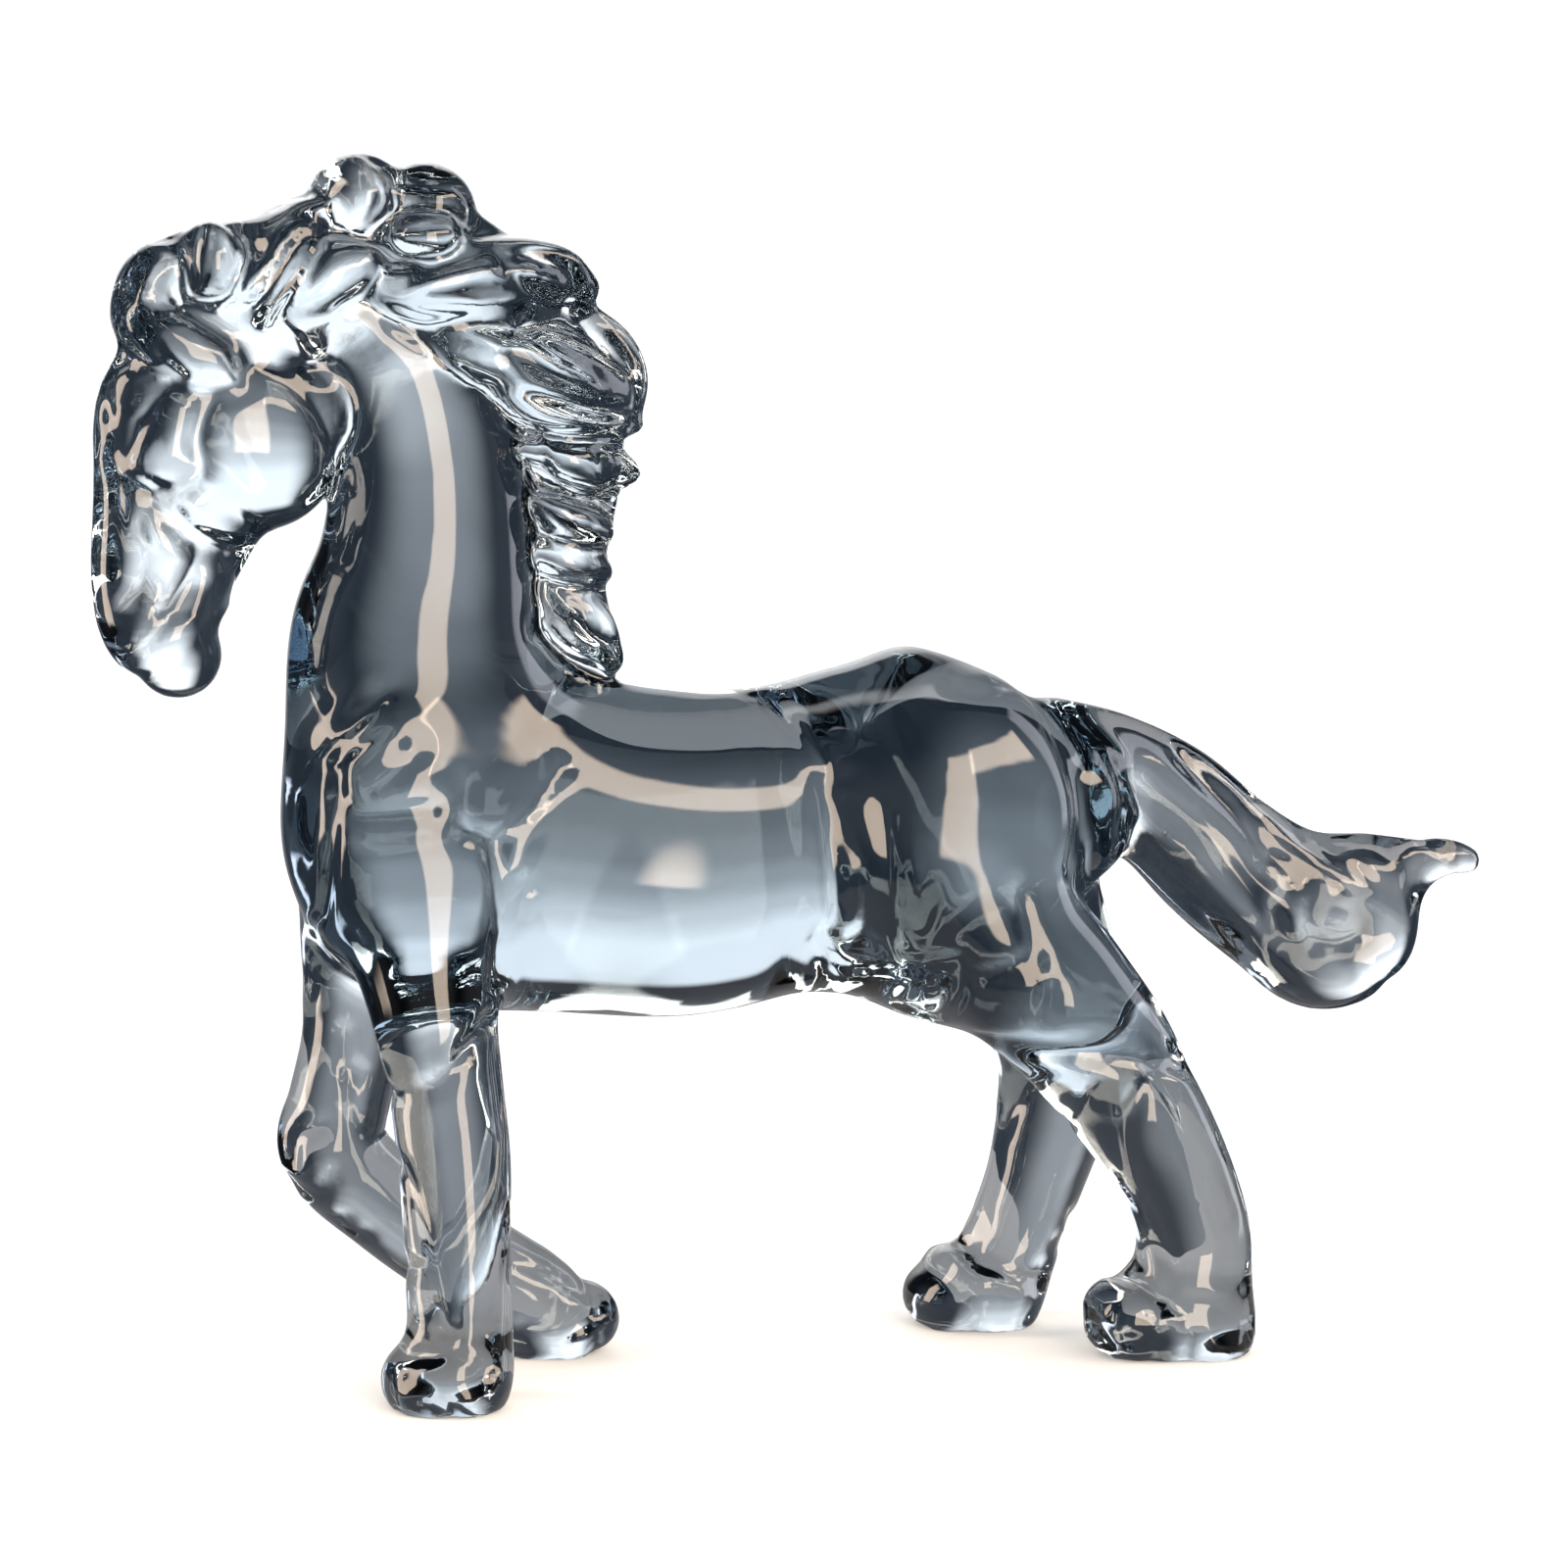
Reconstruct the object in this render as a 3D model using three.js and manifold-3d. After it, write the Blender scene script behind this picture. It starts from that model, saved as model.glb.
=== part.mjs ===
// A horse of solid smoky glass, hot-worked in one piece. It walks with its head bowed, its mane in thick
// trailed locks and its tail carried out behind. The head looks to -X, the flank that faces the front is
// at -Y, +Z is up and the soles stand at Z = 0. Units are millimetres.
//
// The glass is one distance field. Each limb is a run of oval sections, each muscle an egg, and they flow
// into each other as hot glass does. The marks of the tools are pressed in. The field's surface is then
// netted, thinned to fewer triangles and cut flat under the feet.

import * as THREE from "three";
import Module from "manifold-3d";

// Driving dimensions
const LENGTH = 280;
const BARREL_DEPTH = 67.5;
const BARREL_WIDTH = 55.5;
const NECK_DEPTH = 49.5;
const NECK_WIDTH = 51.5;
const HEAD_DEPTH = 41.5;
const HEAD_WIDTH = 31.5;
const FORELEG_DEPTH = 34.5;
const BENT_FORELEG_DEPTH = 30;
const FORELEG_WIDTH = 27;
const NEAR_THIGH_DEPTH = 45;
const FAR_THIGH_DEPTH = 42;
const THIGH_WIDTH = 31.5;
const HOOF_WIDTH = 28;
const TAIL_DEPTH = 35;
const TAIL_WIDTH = 24;
const CREST_DEPTH = 24.5;
const CREST_WIDTH = 20;
const FORELOCK_DEPTH = 15.5;
const FORELOCK_WIDTH = 25.5;
const GLASS_COLOUR = "#8fa1b4";

// How finely the surface is worked out
const SAMPLE_STEP = 2;
const SPAN_STEPS = 6;
const RELAX_ROUNDS = 2;
const TRIANGLES = 9400;
const SOLE_SNAP = 0.6;
const PINHOLE_FILL = 0.2;
const FAR = 1000;

// Places are in hundredths of LENGTH.
const HUNDREDTH = LENGTH / 100;

// A limb: rows of [along, across, up, depth, width], the last two in hundredths of the limb's own size.
// flow is how far, in millimetres, it melts into what it joins.
const LIMBS = [
  { name: "trunk", depth: BARREL_DEPTH, width: BARREL_WIDTH, flow: 16, rows: [
    [-27.6, 0, 37.8, 81, 93], [-22.8, 0, 37.6, 97, 100], [-15.9, 0, 36.5, 95, 96],
    [-9, 0, 35.8, 93, 96], [-1.9, 0, 36.5, 88, 93], [3, 0, 37.1, 92, 93],
    [8.3, 0, 37.4, 100, 100], [14.4, 0, 38, 76, 96], [17.3, 0, 38.2, 51, 71],
  ] },
  { name: "neck", depth: NECK_DEPTH, width: NECK_WIDTH, flow: 16, rows: [
    [-26.8, 0, 34.4, 75, 96], [-27.3, 0, 39.8, 90, 100], [-27.7, 0, 45.2, 100, 96],
    [-27.8, 0, 51.2, 98, 85], [-27, 0, 57.1, 83, 77], [-27, 0, 63, 74, 69],
    [-28.2, 0, 69, 68, 65], [-31.4, 0, 73.5, 59, 62], [-35.4, 0, 75, 49, 58],
  ] },
  { name: "head", depth: HEAD_DEPTH, width: HEAD_WIDTH, flow: 9, rows: [
    [-36.1, 0, 74.4, 53, 81], [-40.5, 0, 71.6, 79, 94], [-42.4, 0, 66.1, 100, 100],
    [-44.2, 0, 60.2, 79, 88], [-45.3, 0, 55.7, 65, 69], [-45.1, 0, 52.4, 58, 72],
    [-44.3, 0, 50.6, 40, 62],
  ] },
  { name: "near foreleg", depth: FORELEG_DEPTH, width: FORELEG_WIDTH, flow: 12, rows: [
    [-29.1, -5, 38.5, 100, 102], [-28.9, -5.7, 32.7, 83, 102], [-28.6, -6.4, 27.4, 70, 95],
    [-27.8, -6.7, 22.1, 63, 88], [-27.3, -7.1, 16.8, 62, 84], [-27.2, -7.4, 12.2, 59, 81],
    [-27.1, -7.4, 8.2, 58, 81], [-27.1, -7.8, 4.9, 57, 84], [-27.5, -7.8, 1.4, 53, 88],
  ] },
  { name: "near fore hoof", depth: 15.5, width: HOOF_WIDTH, flow: 8, rows: [
    [-26.4, -7.8, 2.1, 81, 92], [-28, -7.8, 2, 100, 102], [-29.9, -7.8, 1.7, 90, 95],
  ] },
  { name: "far foreleg", depth: BENT_FORELEG_DEPTH, width: FORELEG_WIDTH, flow: 12, rows: [
    [-28.4, 5, 36.5, 100, 95], [-30.5, 5.7, 29.7, 78, 87], [-30.8, 6.4, 23.5, 67, 81],
    [-31.9, 6.7, 18.5, 65, 81], [-32.4, 6.7, 15.2, 69, 81], [-28.3, 7.1, 11.1, 66, 81],
    [-23.8, 7.1, 7.7, 66, 81], [-19.1, 7.1, 4.8, 61, 81],
  ] },
  { name: "far fore hoof", depth: 20.5, width: HOOF_WIDTH, flow: 6, rows: [
    [-17.7, 7.4, 2.7, 100, 85], [-15.4, 7.4, 2.4, 93, 92], [-14.4, 7.4, 2.4, 68, 81],
  ] },
  { name: "near hind leg", depth: NEAR_THIGH_DEPTH, width: THIGH_WIDTH, flow: 12, rows: [
    [9, -4.2, 36.9, 100, 100], [11.1, -5.3, 31.2, 75, 100], [15.5, -6, 26, 69, 94],
    [19, -6, 21.8, 64, 81], [21.7, -6, 17.7, 57, 78], [24.4, -5.7, 13.3, 51, 75],
    [26.2, -5.3, 8.8, 49, 75], [26.3, -5.3, 5.3, 51, 75], [26.2, -5.3, 2.2, 49, 78],
    [26.2, -5.3, -0.8, 44, 75],
  ] },
  { name: "near hind hoof", depth: 20.5, width: HOOF_WIDTH, flow: 8, rows: [
    [27.6, -5.3, 1.8, 71, 93], [24.4, -5.3, 2.8, 100, 100], [21.4, -5.3, 2.6, 83, 93],
  ] },
  { name: "far hind leg", depth: FAR_THIGH_DEPTH, width: THIGH_WIDTH, flow: 12, rows: [
    [14, 4.2, 33.5, 100, 100], [18.3, 5.3, 26.2, 77, 94], [20.3, 6.4, 19.6, 59, 81],
    [20, 7.1, 14.6, 53, 75], [19, 7.8, 10, 46, 72], [17.6, 8.1, 6.1, 46, 72],
    [16.1, 8.1, 2.8, 43, 75], [15.8, 8.1, 0.1, 37, 75],
  ] },
  { name: "far hind hoof", depth: 18, width: HOOF_WIDTH, flow: 8, rows: [
    [16.6, 8.1, 2.5, 83, 93], [14, 8.1, 2.7, 100, 100], [12.2, 8.1, 2, 78, 89],
  ] },
  { name: "tail", depth: TAIL_DEPTH, width: TAIL_WIDTH, flow: 6, rows: [
    [17.5, 0.7, 41.3, 66, 92], [21.9, 1.4, 39.9, 70, 100], [26.6, 1.8, 37.3, 75, 100],
    [30.5, 1.8, 33.7, 80, 100], [34.7, 1.8, 30.6, 86, 100], [38.7, 1.8, 28.6, 100, 100],
    [41.4, 1.8, 29.2, 84, 92],
  ] },
  { name: "tail tip", depth: TAIL_DEPTH, width: TAIL_WIDTH, flow: 7, rows: [
    [38.5, 1.8, 30.2, 62, 75], [41.6, 1.8, 31.2, 56, 70], [44.2, 1.8, 32.1, 42, 56],
    [46.3, 1.8, 32.7, 27, 44], [48.1, 1.8, 32.9, 20, 40], [49.4, 1.8, 32.6, 16, 33],
  ] },
  { name: "groin", depth: 29.5, width: 35.5, flow: 14, rows: [
    [3.7, 0, 30.8, 82, 89], [8.7, 0, 28.9, 97, 100], [13.7, 0, 27.6, 100, 100],
  ] },
  { name: "crest", depth: CREST_DEPTH, width: CREST_WIDTH, flow: 8, rows: [
    [-34, 0, 76.8, 75, 90], [-29.3, 0, 78.5, 72, 100], [-24.6, 0, 76.5, 75, 100],
    [-20.6, 0, 72.1, 91, 100], [-17.9, 0, 66.1, 100, 90], [-17.2, 0, 60.8, 79, 80],
    [-17.6, 0, 55.5, 64, 80], [-16.5, 0, 50.8, 55, 80],
  ] },
];

// A muscle or a bead of hair: an egg by its middle, its half sizes along, across and up in millimetres,
// and how far its front is turned up, in degrees.
const EGGS = [
  { name: "near cheek", at: [-39.4, -3.2, 65.4], half: [14, 8.4, 14], turn: 0, flow: 4 },
  { name: "far cheek", at: [-38.2, 3.2, 65], half: [14, 8.4, 14], turn: 0, flow: 4 },
  { name: "jaw", at: [-37.8, 0, 62.2], half: [11, 12, 9.2], turn: 20, flow: 5 },
  { name: "throat", at: [-34.5, 0, 67.2], half: [8.4, 12, 11], turn: 0, flow: 5 },
  { name: "near shoulder", at: [-30.9, -5.7, 42], half: [12.8, 12, 16.8], turn: 12, flow: 10 },
  { name: "far shoulder", at: [-28.1, 5.7, 40.5], half: [13, 12, 17.2], turn: 12, flow: 10 },
  { name: "near haunch", at: [8.2, -5.3, 39.1], half: [17.6, 14, 22.9], turn: -25, flow: 12 },
  { name: "far haunch", at: [11.7, 5.3, 37.6], half: [18, 14, 23.4], turn: -25, flow: 12 },
  { name: "front topknot", at: [-31.7, 0, 80.7], half: [9.1, 14, 8.8], turn: 0, flow: 3 },
  { name: "back topknot", at: [-27.1, 0, 79.9], half: [9.2, 15, 9.2], turn: 0, flow: 3 },
  { name: "near topknot lobe", at: [-28, -4.2, 78.3], half: [7.6, 7, 4.7], turn: 0, flow: 2 },
  { name: "far topknot lobe", at: [-26.5, 4.2, 78], half: [7.6, 7, 4.7], turn: 0, flow: 2 },
  { name: "near temple", at: [-34.7, -4.2, 75.6], half: [11.2, 7, 6.2], turn: 25, flow: 2.5 },
  { name: "far temple", at: [-33.2, 4.2, 75.2], half: [11.2, 7, 6.2], turn: 25, flow: 2.5 },
  { name: "near forelock lobe", at: [-42.4, -2.5, 76.9], half: [5.4, 9, 7.6], turn: 0, flow: 2.5 },
  { name: "far forelock lobe", at: [-41.3, 2.5, 76.6], half: [5.4, 9, 7.6], turn: 0, flow: 2.5 },
];

// Hair that lies on top of the rest, as limbs; both marks the ones made on each side.
const HAIR = [
  { name: "forelock", depth: FORELOCK_DEPTH, width: FORELOCK_WIDTH, flow: 3, rows: [
    [-38.6, 0, 76.9, 95, 92], [-42.4, 0, 76.3, 100, 100], [-45.2, 0, 75.2, 100, 100],
    [-46.2, -1.1, 73, 81, 92], [-44.5, -3.2, 71.3, 80, 62], [-42.3, -4.2, 70.5, 61, 46],
  ] },
  { name: "forelock strand", depth: 10, width: 20, flow: 2.5, both: true, rows: [
    [-36, -0.7, 79.1, 89, 100], [-38, -2.1, 77.7, 100, 90], [-40.4, -3.9, 75, 66, 60],
  ] },
  { name: "ear", depth: 3.4, width: 4.4, flow: 1.2, both: true, rows: [
    [-39.4, -5.3, 73.1, 67, 73], [-38, -5.3, 75.8, 100, 100], [-36, -3.9, 78.6, 67, 73],
  ] },
  { name: "upper rim", depth: 5.5, width: 18, flow: 1.5, rows: [
    [-25.2, -2.1, 77.1, 93, 100], [-21.2, -2.1, 77.2, 93, 100], [-18.3, -1.9, 76.5, 98, 94],
    [-17, -1.6, 75.1, 92, 84], [-16.9, -1.4, 73.6, 76, 78],
  ] },
  { name: "lower rim", depth: 6, width: 14, flow: 1.5, rows: [
    [-16.4, -0.7, 72.8, 87, 100], [-14.1, -0.7, 70.9, 100, 100], [-13, -0.7, 68.5, 94, 100],
    [-13.4, -0.7, 66.2, 88, 86],
  ] },
];

// A lock of the mane runs from its root on the side of the neck to its tip over the crest. rise is how far
// its middle lifts, out how far its root stands from the middle plane, thick and flat its section.
const LOCKS = [
  { root: [-32.2, 74.6], tip: [-17.2, 74.8], rise: 1.1, out: 4, thick: 12.4, flat: 17.8 },
  { root: [-32.3, 74.2], tip: [-17.3, 73.4], rise: -0.6, out: 4.4, thick: 7.3, flat: 12 },
  { root: [-27.7, 72], tip: [-14.3, 67.3], rise: 0, out: 4.5, thick: 14, flat: 17.8 },
  { root: [-23.9, 68.7], tip: [-14, 65.4], rise: -0.9, out: 4.3, thick: 7.4, flat: 15.8 },
  { root: [-20.7, 64.1], tip: [-14.5, 62.3], rise: 0, out: 3.7, thick: 12.2, flat: 15.8 },
  { root: [-19.9, 60.3], tip: [-16.1, 58.4], rise: -0.2, out: 3.2, thick: 9.2, flat: 14 },
  { root: [-19.9, 57], tip: [-16.1, 55.7], rise: 0, out: 2.8, thick: 8.9, flat: 14 },
  { root: [-19.4, 54.2], tip: [-15.1, 49.8], rise: 0.2, out: 2.4, thick: 11.8, flat: 14 },
];
const LOCK_FLOW = 1.8;

// A lock's section and its stand-off from root to tip, in hundredths of its own values
const LOCK_DEPTHS = [38, 82, 100, 94, 62];
const LOCK_WIDTHS = [68, 88, 100, 98, 88];
const LOCK_STANDS = [100, 115, 104, 64, 26];

// A tool mark: rows of [along, across, up, half width mm, depth mm].
const MARKS = [
  { name: "cheek edge", rows: [
    [-43.3, -5.7, 68.4, 1.8, 1], [-44.1, -5.7, 65.9, 1.8, 1.4], [-44.9, -5.3, 63.3, 1.8, 1.4],
    [-46.3, -5, 61.9, 1.8, 1.4], [-45.2, -4.6, 59.6, 2, 1.4],
  ] },
  { name: "jaw pinch", rows: [[-44, -3.9, 58.6, 2.2, 1.6], [-41.2, -3.2, 57.7, 2.4, 1.6]] },
  { name: "nostril", rows: [[-44.9, -3.9, 54.3, 2, 2.2], [-44.3, -3.9, 56, 1.6, 1.2]] },
  { name: "chest pinch", rows: [
    [-35, -7.1, 44.8, 2.4, 1.4], [-33.3, -7.4, 46.6, 2.4, 1.6], [-31.3, -7.4, 48.5, 2.2, 1],
  ] },
  { name: "elbow pinch", rows: [[-26.1, -9.2, 38.4, 2.4, 1.6], [-25.1, -9.2, 39.2, 2.2, 1.4]] },
  { name: "flank fold", rows: [
    [-1.4, -9.2, 40, 4, 1.2], [-0.9, -9.2, 34.6, 4, 1.8], [0.5, -9.2, 30.2, 4, 1.8],
    [1.5, -7.1, 27.1, 4, 1.2],
  ] },
  { name: "stifle pinch", rows: [[2.1, -8.5, 29.1, 2.6, 1.8], [3.7, -8.5, 29.7, 2.6, 1.6]] },
  { name: "gaskin crease", rows: [
    [12.3, -8.5, 22.2, 2.6, 1.4], [15.8, -10.6, 23, 2.6, 1.8], [20, -10.6, 22.9, 2.6, 1.8],
    [25, -7.8, 20.5, 2.6, 1.2],
  ] },
  { name: "near fetlock pinch", rows: [
    [20.4, -9.9, 7.1, 2.4, 1.2], [21.9, -10.6, 4.8, 2.4, 1.8], [25.2, -10.6, 4.2, 2.2, 1.2],
  ] },
  { name: "near hind cleft", rows: [[23.2, -11, 3.5, 1.6, 0.6], [23.4, -11, 0.7, 1.8, 1.4]] },
  { name: "far fetlock pinch", rows: [[13.3, 2.8, 6.5, 2.4, 1.6], [13.6, 2.8, 5.2, 2.2, 1.2]] },
  { name: "cannon groove", rows: [
    [-29.9, -10.3, 21.5, 4, 0.8], [-29.3, -10.3, 13.5, 4, 1.4], [-28, -10.3, 5.8, 3, 1],
  ] },
  { name: "tail groove", rows: [
    [25.4, -1.4, 42.6, 3, 0.6], [29.1, -2.1, 38.8, 3.4, 2], [32.3, -2.5, 34.9, 3.4, 2.4],
    [34.7, -2.5, 31.8, 3.4, 2.2], [36.4, -2.5, 29, 3, 1.2],
  ] },
  { name: "tail dimple", rows: [
    [37.7, -2.5, 28.4, 5, 2], [39.3, -2.5, 28.5, 6, 2.6], [40.8, -2.5, 28.3, 5, 2],
  ] },
];

const place = ([along, across, up]) => new THREE.Vector3(along, across, up).multiplyScalar(HUNDREDTH);

// Reads points along a smooth run through the given ones, a few to each span.
function smoothRun(points) {
  const curve = new THREE.CatmullRomCurve3(points, false, "catmullrom", 0.5);
  return curve.getPoints((points.length - 1) * SPAN_STEPS);
}

// The sections of a limb: middle, the axes along it, across it and through it, and its two half sizes.
function sections({ rows, depth, width }, side = 1) {
  const middles = smoothRun(rows.map(([along, across, up]) => place([along, across * side, up])));
  const sizes = smoothRun(rows.map(([, , , d, w]) => new THREE.Vector3((d * depth) / 200, (w * width) / 200, 0)));
  const last = middles.length - 1;
  return middles.map((middle, i) => {
    const along = middles[Math.min(i + 1, last)].clone().sub(middles[Math.max(i - 1, 0)]).normalize();
    const across = new THREE.Vector3(0, 1, 0).addScaledVector(along, -along.y).normalize();
    const through = new THREE.Vector3().crossVectors(along, across);
    return { middle, along, across, through, depth: sizes[i].x, width: sizes[i].y };
  });
}

// A lock as a limb: its rows run from the root to the tip.
function lockLimb({ root, tip, rise, out, thick, flat }) {
  const rows = LOCK_DEPTHS.map((depth, i) => {
    const t = i / (LOCK_DEPTHS.length - 1);
    const along = THREE.MathUtils.lerp(root[0], tip[0], t);
    const up = THREE.MathUtils.lerp(root[1], tip[1], t) + 4 * rise * t * (1 - t);
    return [along, (-out * LOCK_STANDS[i]) / 100, up, depth, LOCK_WIDTHS[i]];
  });
  return { depth: thick, width: flat, flow: LOCK_FLOW, both: true, rows };
}

// Samples of the distance to the glass over a box: below zero inside.
class Field {
  constructor(box) {
    this.low = box.min;
    const size = box.getSize(new THREE.Vector3()).divideScalar(SAMPLE_STEP);
    this.count = [Math.ceil(size.x) + 1, Math.ceil(size.y) + 1, Math.ceil(size.z) + 1];
    this.value = new Float32Array(this.count[0] * this.count[1] * this.count[2]).fill(FAR);
  }

  index(i, j, k) {
    return (i * this.count[1] + j) * this.count[2] + k;
  }

  // Calls visit(point, index) for each sample inside the box.
  inBox(box, visit) {
    const from = box.min.clone().sub(this.low).divideScalar(SAMPLE_STEP).floor().max(new THREE.Vector3());
    const to = box.max.clone().sub(this.low).divideScalar(SAMPLE_STEP).ceil();
    const point = new THREE.Vector3();
    for (let i = from.x; i <= Math.min(to.x, this.count[0] - 1); i += 1) {
      for (let j = from.y; j <= Math.min(to.y, this.count[1] - 1); j += 1) {
        for (let k = from.z; k <= Math.min(to.z, this.count[2] - 1); k += 1) {
          point.set(i, j, k).multiplyScalar(SAMPLE_STEP).add(this.low);
          visit(point, this.index(i, j, k));
        }
      }
    }
  }

  // Melts a shape into the glass: the two surfaces flow together where they are within flow of each other.
  melt(index, distance, flow) {
    const old = this.value[index];
    const near = Math.max(flow - Math.abs(old - distance), 0) / flow;
    this.value[index] = Math.min(old, distance) - (near ** 3 * flow) / 6;
  }
}

// The distance to an oval of half sizes a, b and c from its middle, at an offset of x, y and z.
function ovalDistance(x, y, z, a, b, c) {
  const off = Math.hypot(x, y, z);
  const share = Math.hypot(x / a, y / b, z / c);
  return share > 1e-4 ? off * (1 - 1 / share) : -Math.min(a, b, c);
}

// Adds a limb to the field. Between two sections the shape is swept from one's plane to the other's.
function addLimb(field, limb, side = 1) {
  const run = sections(limb, side);
  const own = new Map();
  const offset = new THREE.Vector3();
  for (let i = 0; i < run.length - 1; i += 1) {
    const [a, b] = [run[i], run[i + 1]];
    const reach = Math.max(a.depth, a.width, b.depth, b.width) + limb.flow + 2;
    const box = new THREE.Box3().setFromPoints([a.middle, b.middle]).expandByScalar(reach);
    field.inBox(box, (point, index) => {
      const before = offset.subVectors(point, a.middle).dot(a.along);
      const after = offset.subVectors(point, b.middle).dot(b.along);
      if ((before < 0 && i > 0) || (after > 0 && i < run.length - 2)) return;
      let t = THREE.MathUtils.clamp(before / Math.max(before - after, 1e-9), 0, 1);
      if (before < 0) t = 0;
      else if (after > 0) t = 1;
      offset.copy(point).addScaledVector(a.middle, t - 1).addScaledVector(b.middle, -t);
      const x = mixedDot(offset, a.through, b.through, t);
      const y = mixedDot(offset, a.across, b.across, t);
      const z = mixedDot(offset, a.along, b.along, t);
      const depth = THREE.MathUtils.lerp(a.depth, b.depth, t);
      const width = THREE.MathUtils.lerp(a.width, b.width, t);
      const distance = ovalDistance(x, y, z, depth, width, Math.min(depth, width));
      if (!(own.get(index) <= distance)) own.set(index, distance);
    });
  }
  for (const [index, distance] of own) field.melt(index, distance, limb.flow);
}

// The part of v along the direction that lies a share t of the way from one unit vector to another.
function mixedDot(v, from, to, t) {
  const x = from.x + (to.x - from.x) * t;
  const y = from.y + (to.y - from.y) * t;
  const z = from.z + (to.z - from.z) * t;
  return (v.x * x + v.y * y + v.z * z) / Math.hypot(x, y, z);
}

function addEgg(field, { at, half, turn, flow }) {
  const middle = place(at);
  const [along, across, up] = half;
  const reach = Math.max(along, across, up) + flow + 2;
  const box = new THREE.Box3(middle.clone(), middle.clone()).expandByScalar(reach);
  const untilt = new THREE.Quaternion().setFromAxisAngle(new THREE.Vector3(0, 1, 0), THREE.MathUtils.degToRad(turn));
  const offset = new THREE.Vector3();
  field.inBox(box, (point, index) => {
    offset.subVectors(point, middle).applyQuaternion(untilt);
    field.melt(index, ovalDistance(offset.x, offset.y, offset.z, along, across, up), flow);
  });
}

// Presses a tool mark in: it is deepest on its line and fades out over its half width.
function pressMark(field, { rows }) {
  const line = smoothRun(rows.map(place));
  const tool = smoothRun(rows.map(([, , , width, depth]) => new THREE.Vector3(width, depth, 0)));
  const widest = Math.max(...rows.map((row) => row[3]));
  const box = new THREE.Box3().setFromPoints(line).expandByScalar(3 * widest);
  const closest = new THREE.Vector3();
  field.inBox(box, (point, index) => {
    let best = FAR;
    let depth = 0;
    for (let i = 0; i < line.length - 1; i += 1) {
      const span = closest.subVectors(line[i + 1], line[i]);
      const reach = (point.x - line[i].x) * span.x + (point.y - line[i].y) * span.y + (point.z - line[i].z) * span.z;
      const t = THREE.MathUtils.clamp(reach / span.lengthSq(), 0, 1);
      closest.multiplyScalar(t).add(line[i]);
      const away = closest.distanceTo(point) / THREE.MathUtils.lerp(tool[i].x, tool[i + 1].x, t);
      if (away < best) {
        best = away;
        depth = THREE.MathUtils.lerp(tool[i].y, tool[i + 1].y, t);
      }
    }
    field.value[index] += depth * Math.exp(-best * best);
  });
}

// True where the set corners of a cell, one bit each, hang together along its edges.
function inOnePiece(bits) {
  let reached = bits & -bits;
  for (let round = 0; round < 4; round += 1) {
    for (let corner = 0; corner < 8; corner += 1) {
      if ((reached & (1 << corner)) === 0) continue;
      for (const axis of [1, 2, 4]) reached |= bits & (1 << (corner ^ axis));
    }
  }
  return reached === bits;
}

// Fills each cell in which two sheets of the surface would meet in one point.
function closePinholes(field) {
  const [nx, ny, nz] = field.count;
  const simple = Array.from({ length: 256 }, (_, bits) => inOnePiece(bits) && inOnePiece(255 - bits));
  const corners = Array.from({ length: 8 }, (_, c) => field.index(c & 1, (c >> 1) & 1, c >> 2));
  let filled = true;
  while (filled) {
    filled = false;
    for (let i = 0; i < nx - 1; i += 1) {
      for (let j = 0; j < ny - 1; j += 1) {
        for (let k = 0; k < nz - 1; k += 1) {
          const here = field.index(i, j, k);
          let bits = 0;
          for (let c = 0; c < 8; c += 1) bits |= field.value[here + corners[c]] < 0 ? 1 << c : 0;
          if (simple[bits]) continue;
          for (const corner of corners) {
            field.value[here + corner] = Math.min(field.value[here + corner], -PINHOLE_FILL);
          }
          filled = true;
        }
      }
    }
  }
}

// Fills every hollow that is sealed inside the glass.
function fillHollows(field) {
  const steps = [field.index(1, 0, 0), field.index(0, 1, 0), 1];
  const open = new Uint8Array(field.value.length);
  const queue = [0];
  open[0] = 1;
  while (queue.length > 0) {
    const here = queue.pop();
    for (const step of steps) {
      for (const next of [here - step, here + step]) {
        if (field.value[next] >= 0 && open[next] === 0) {
          open[next] = 1;
          queue.push(next);
        }
      }
    }
  }
  field.value.forEach((value, i) => {
    if (value >= 0 && open[i] === 0) field.value[i] = -PINHOLE_FILL;
  });
}

// Nets the surface: one point in each cell that the surface crosses, joined round each crossed edge.
function netSurface(field) {
  const [nx, ny, nz] = field.count;
  const stride = [ny * nz, nz, 1];
  const pointOf = new Map();
  const points = [];
  const quads = [];
  const pointIn = (cell) => {
    if (!pointOf.has(cell)) {
      pointOf.set(cell, points.length);
      points.push({ sum: new THREE.Vector3(), hits: 0 });
    }
    return pointOf.get(cell);
  };
  const crossing = new THREE.Vector3();
  for (let i = 1; i < nx - 1; i += 1) {
    for (let j = 1; j < ny - 1; j += 1) {
      for (let k = 1; k < nz - 1; k += 1) {
        const here = field.index(i, j, k);
        const inside = field.value[here] < 0;
        for (let axis = 0; axis < 3; axis += 1) {
          const next = here + stride[axis];
          if (field.value[next] < 0 === inside) continue;
          const share = field.value[here] / (field.value[here] - field.value[next]);
          crossing.set(i, j, k);
          crossing.setComponent(axis, crossing.getComponent(axis) + share);
          const [u, v] = [stride[(axis + 1) % 3], stride[(axis + 2) % 3]];
          const cells = [here, here - u, here - u - v, here - v].map(pointIn);
          for (const cell of cells) {
            points[cell].sum.add(crossing);
            points[cell].hits += 1;
          }
          quads.push(inside ? cells : cells.reverse());
        }
      }
    }
  }
  const places = points.map(({ sum, hits }) => sum.divideScalar(hits).multiplyScalar(SAMPLE_STEP).add(field.low));
  return { places, quads };
}

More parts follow.
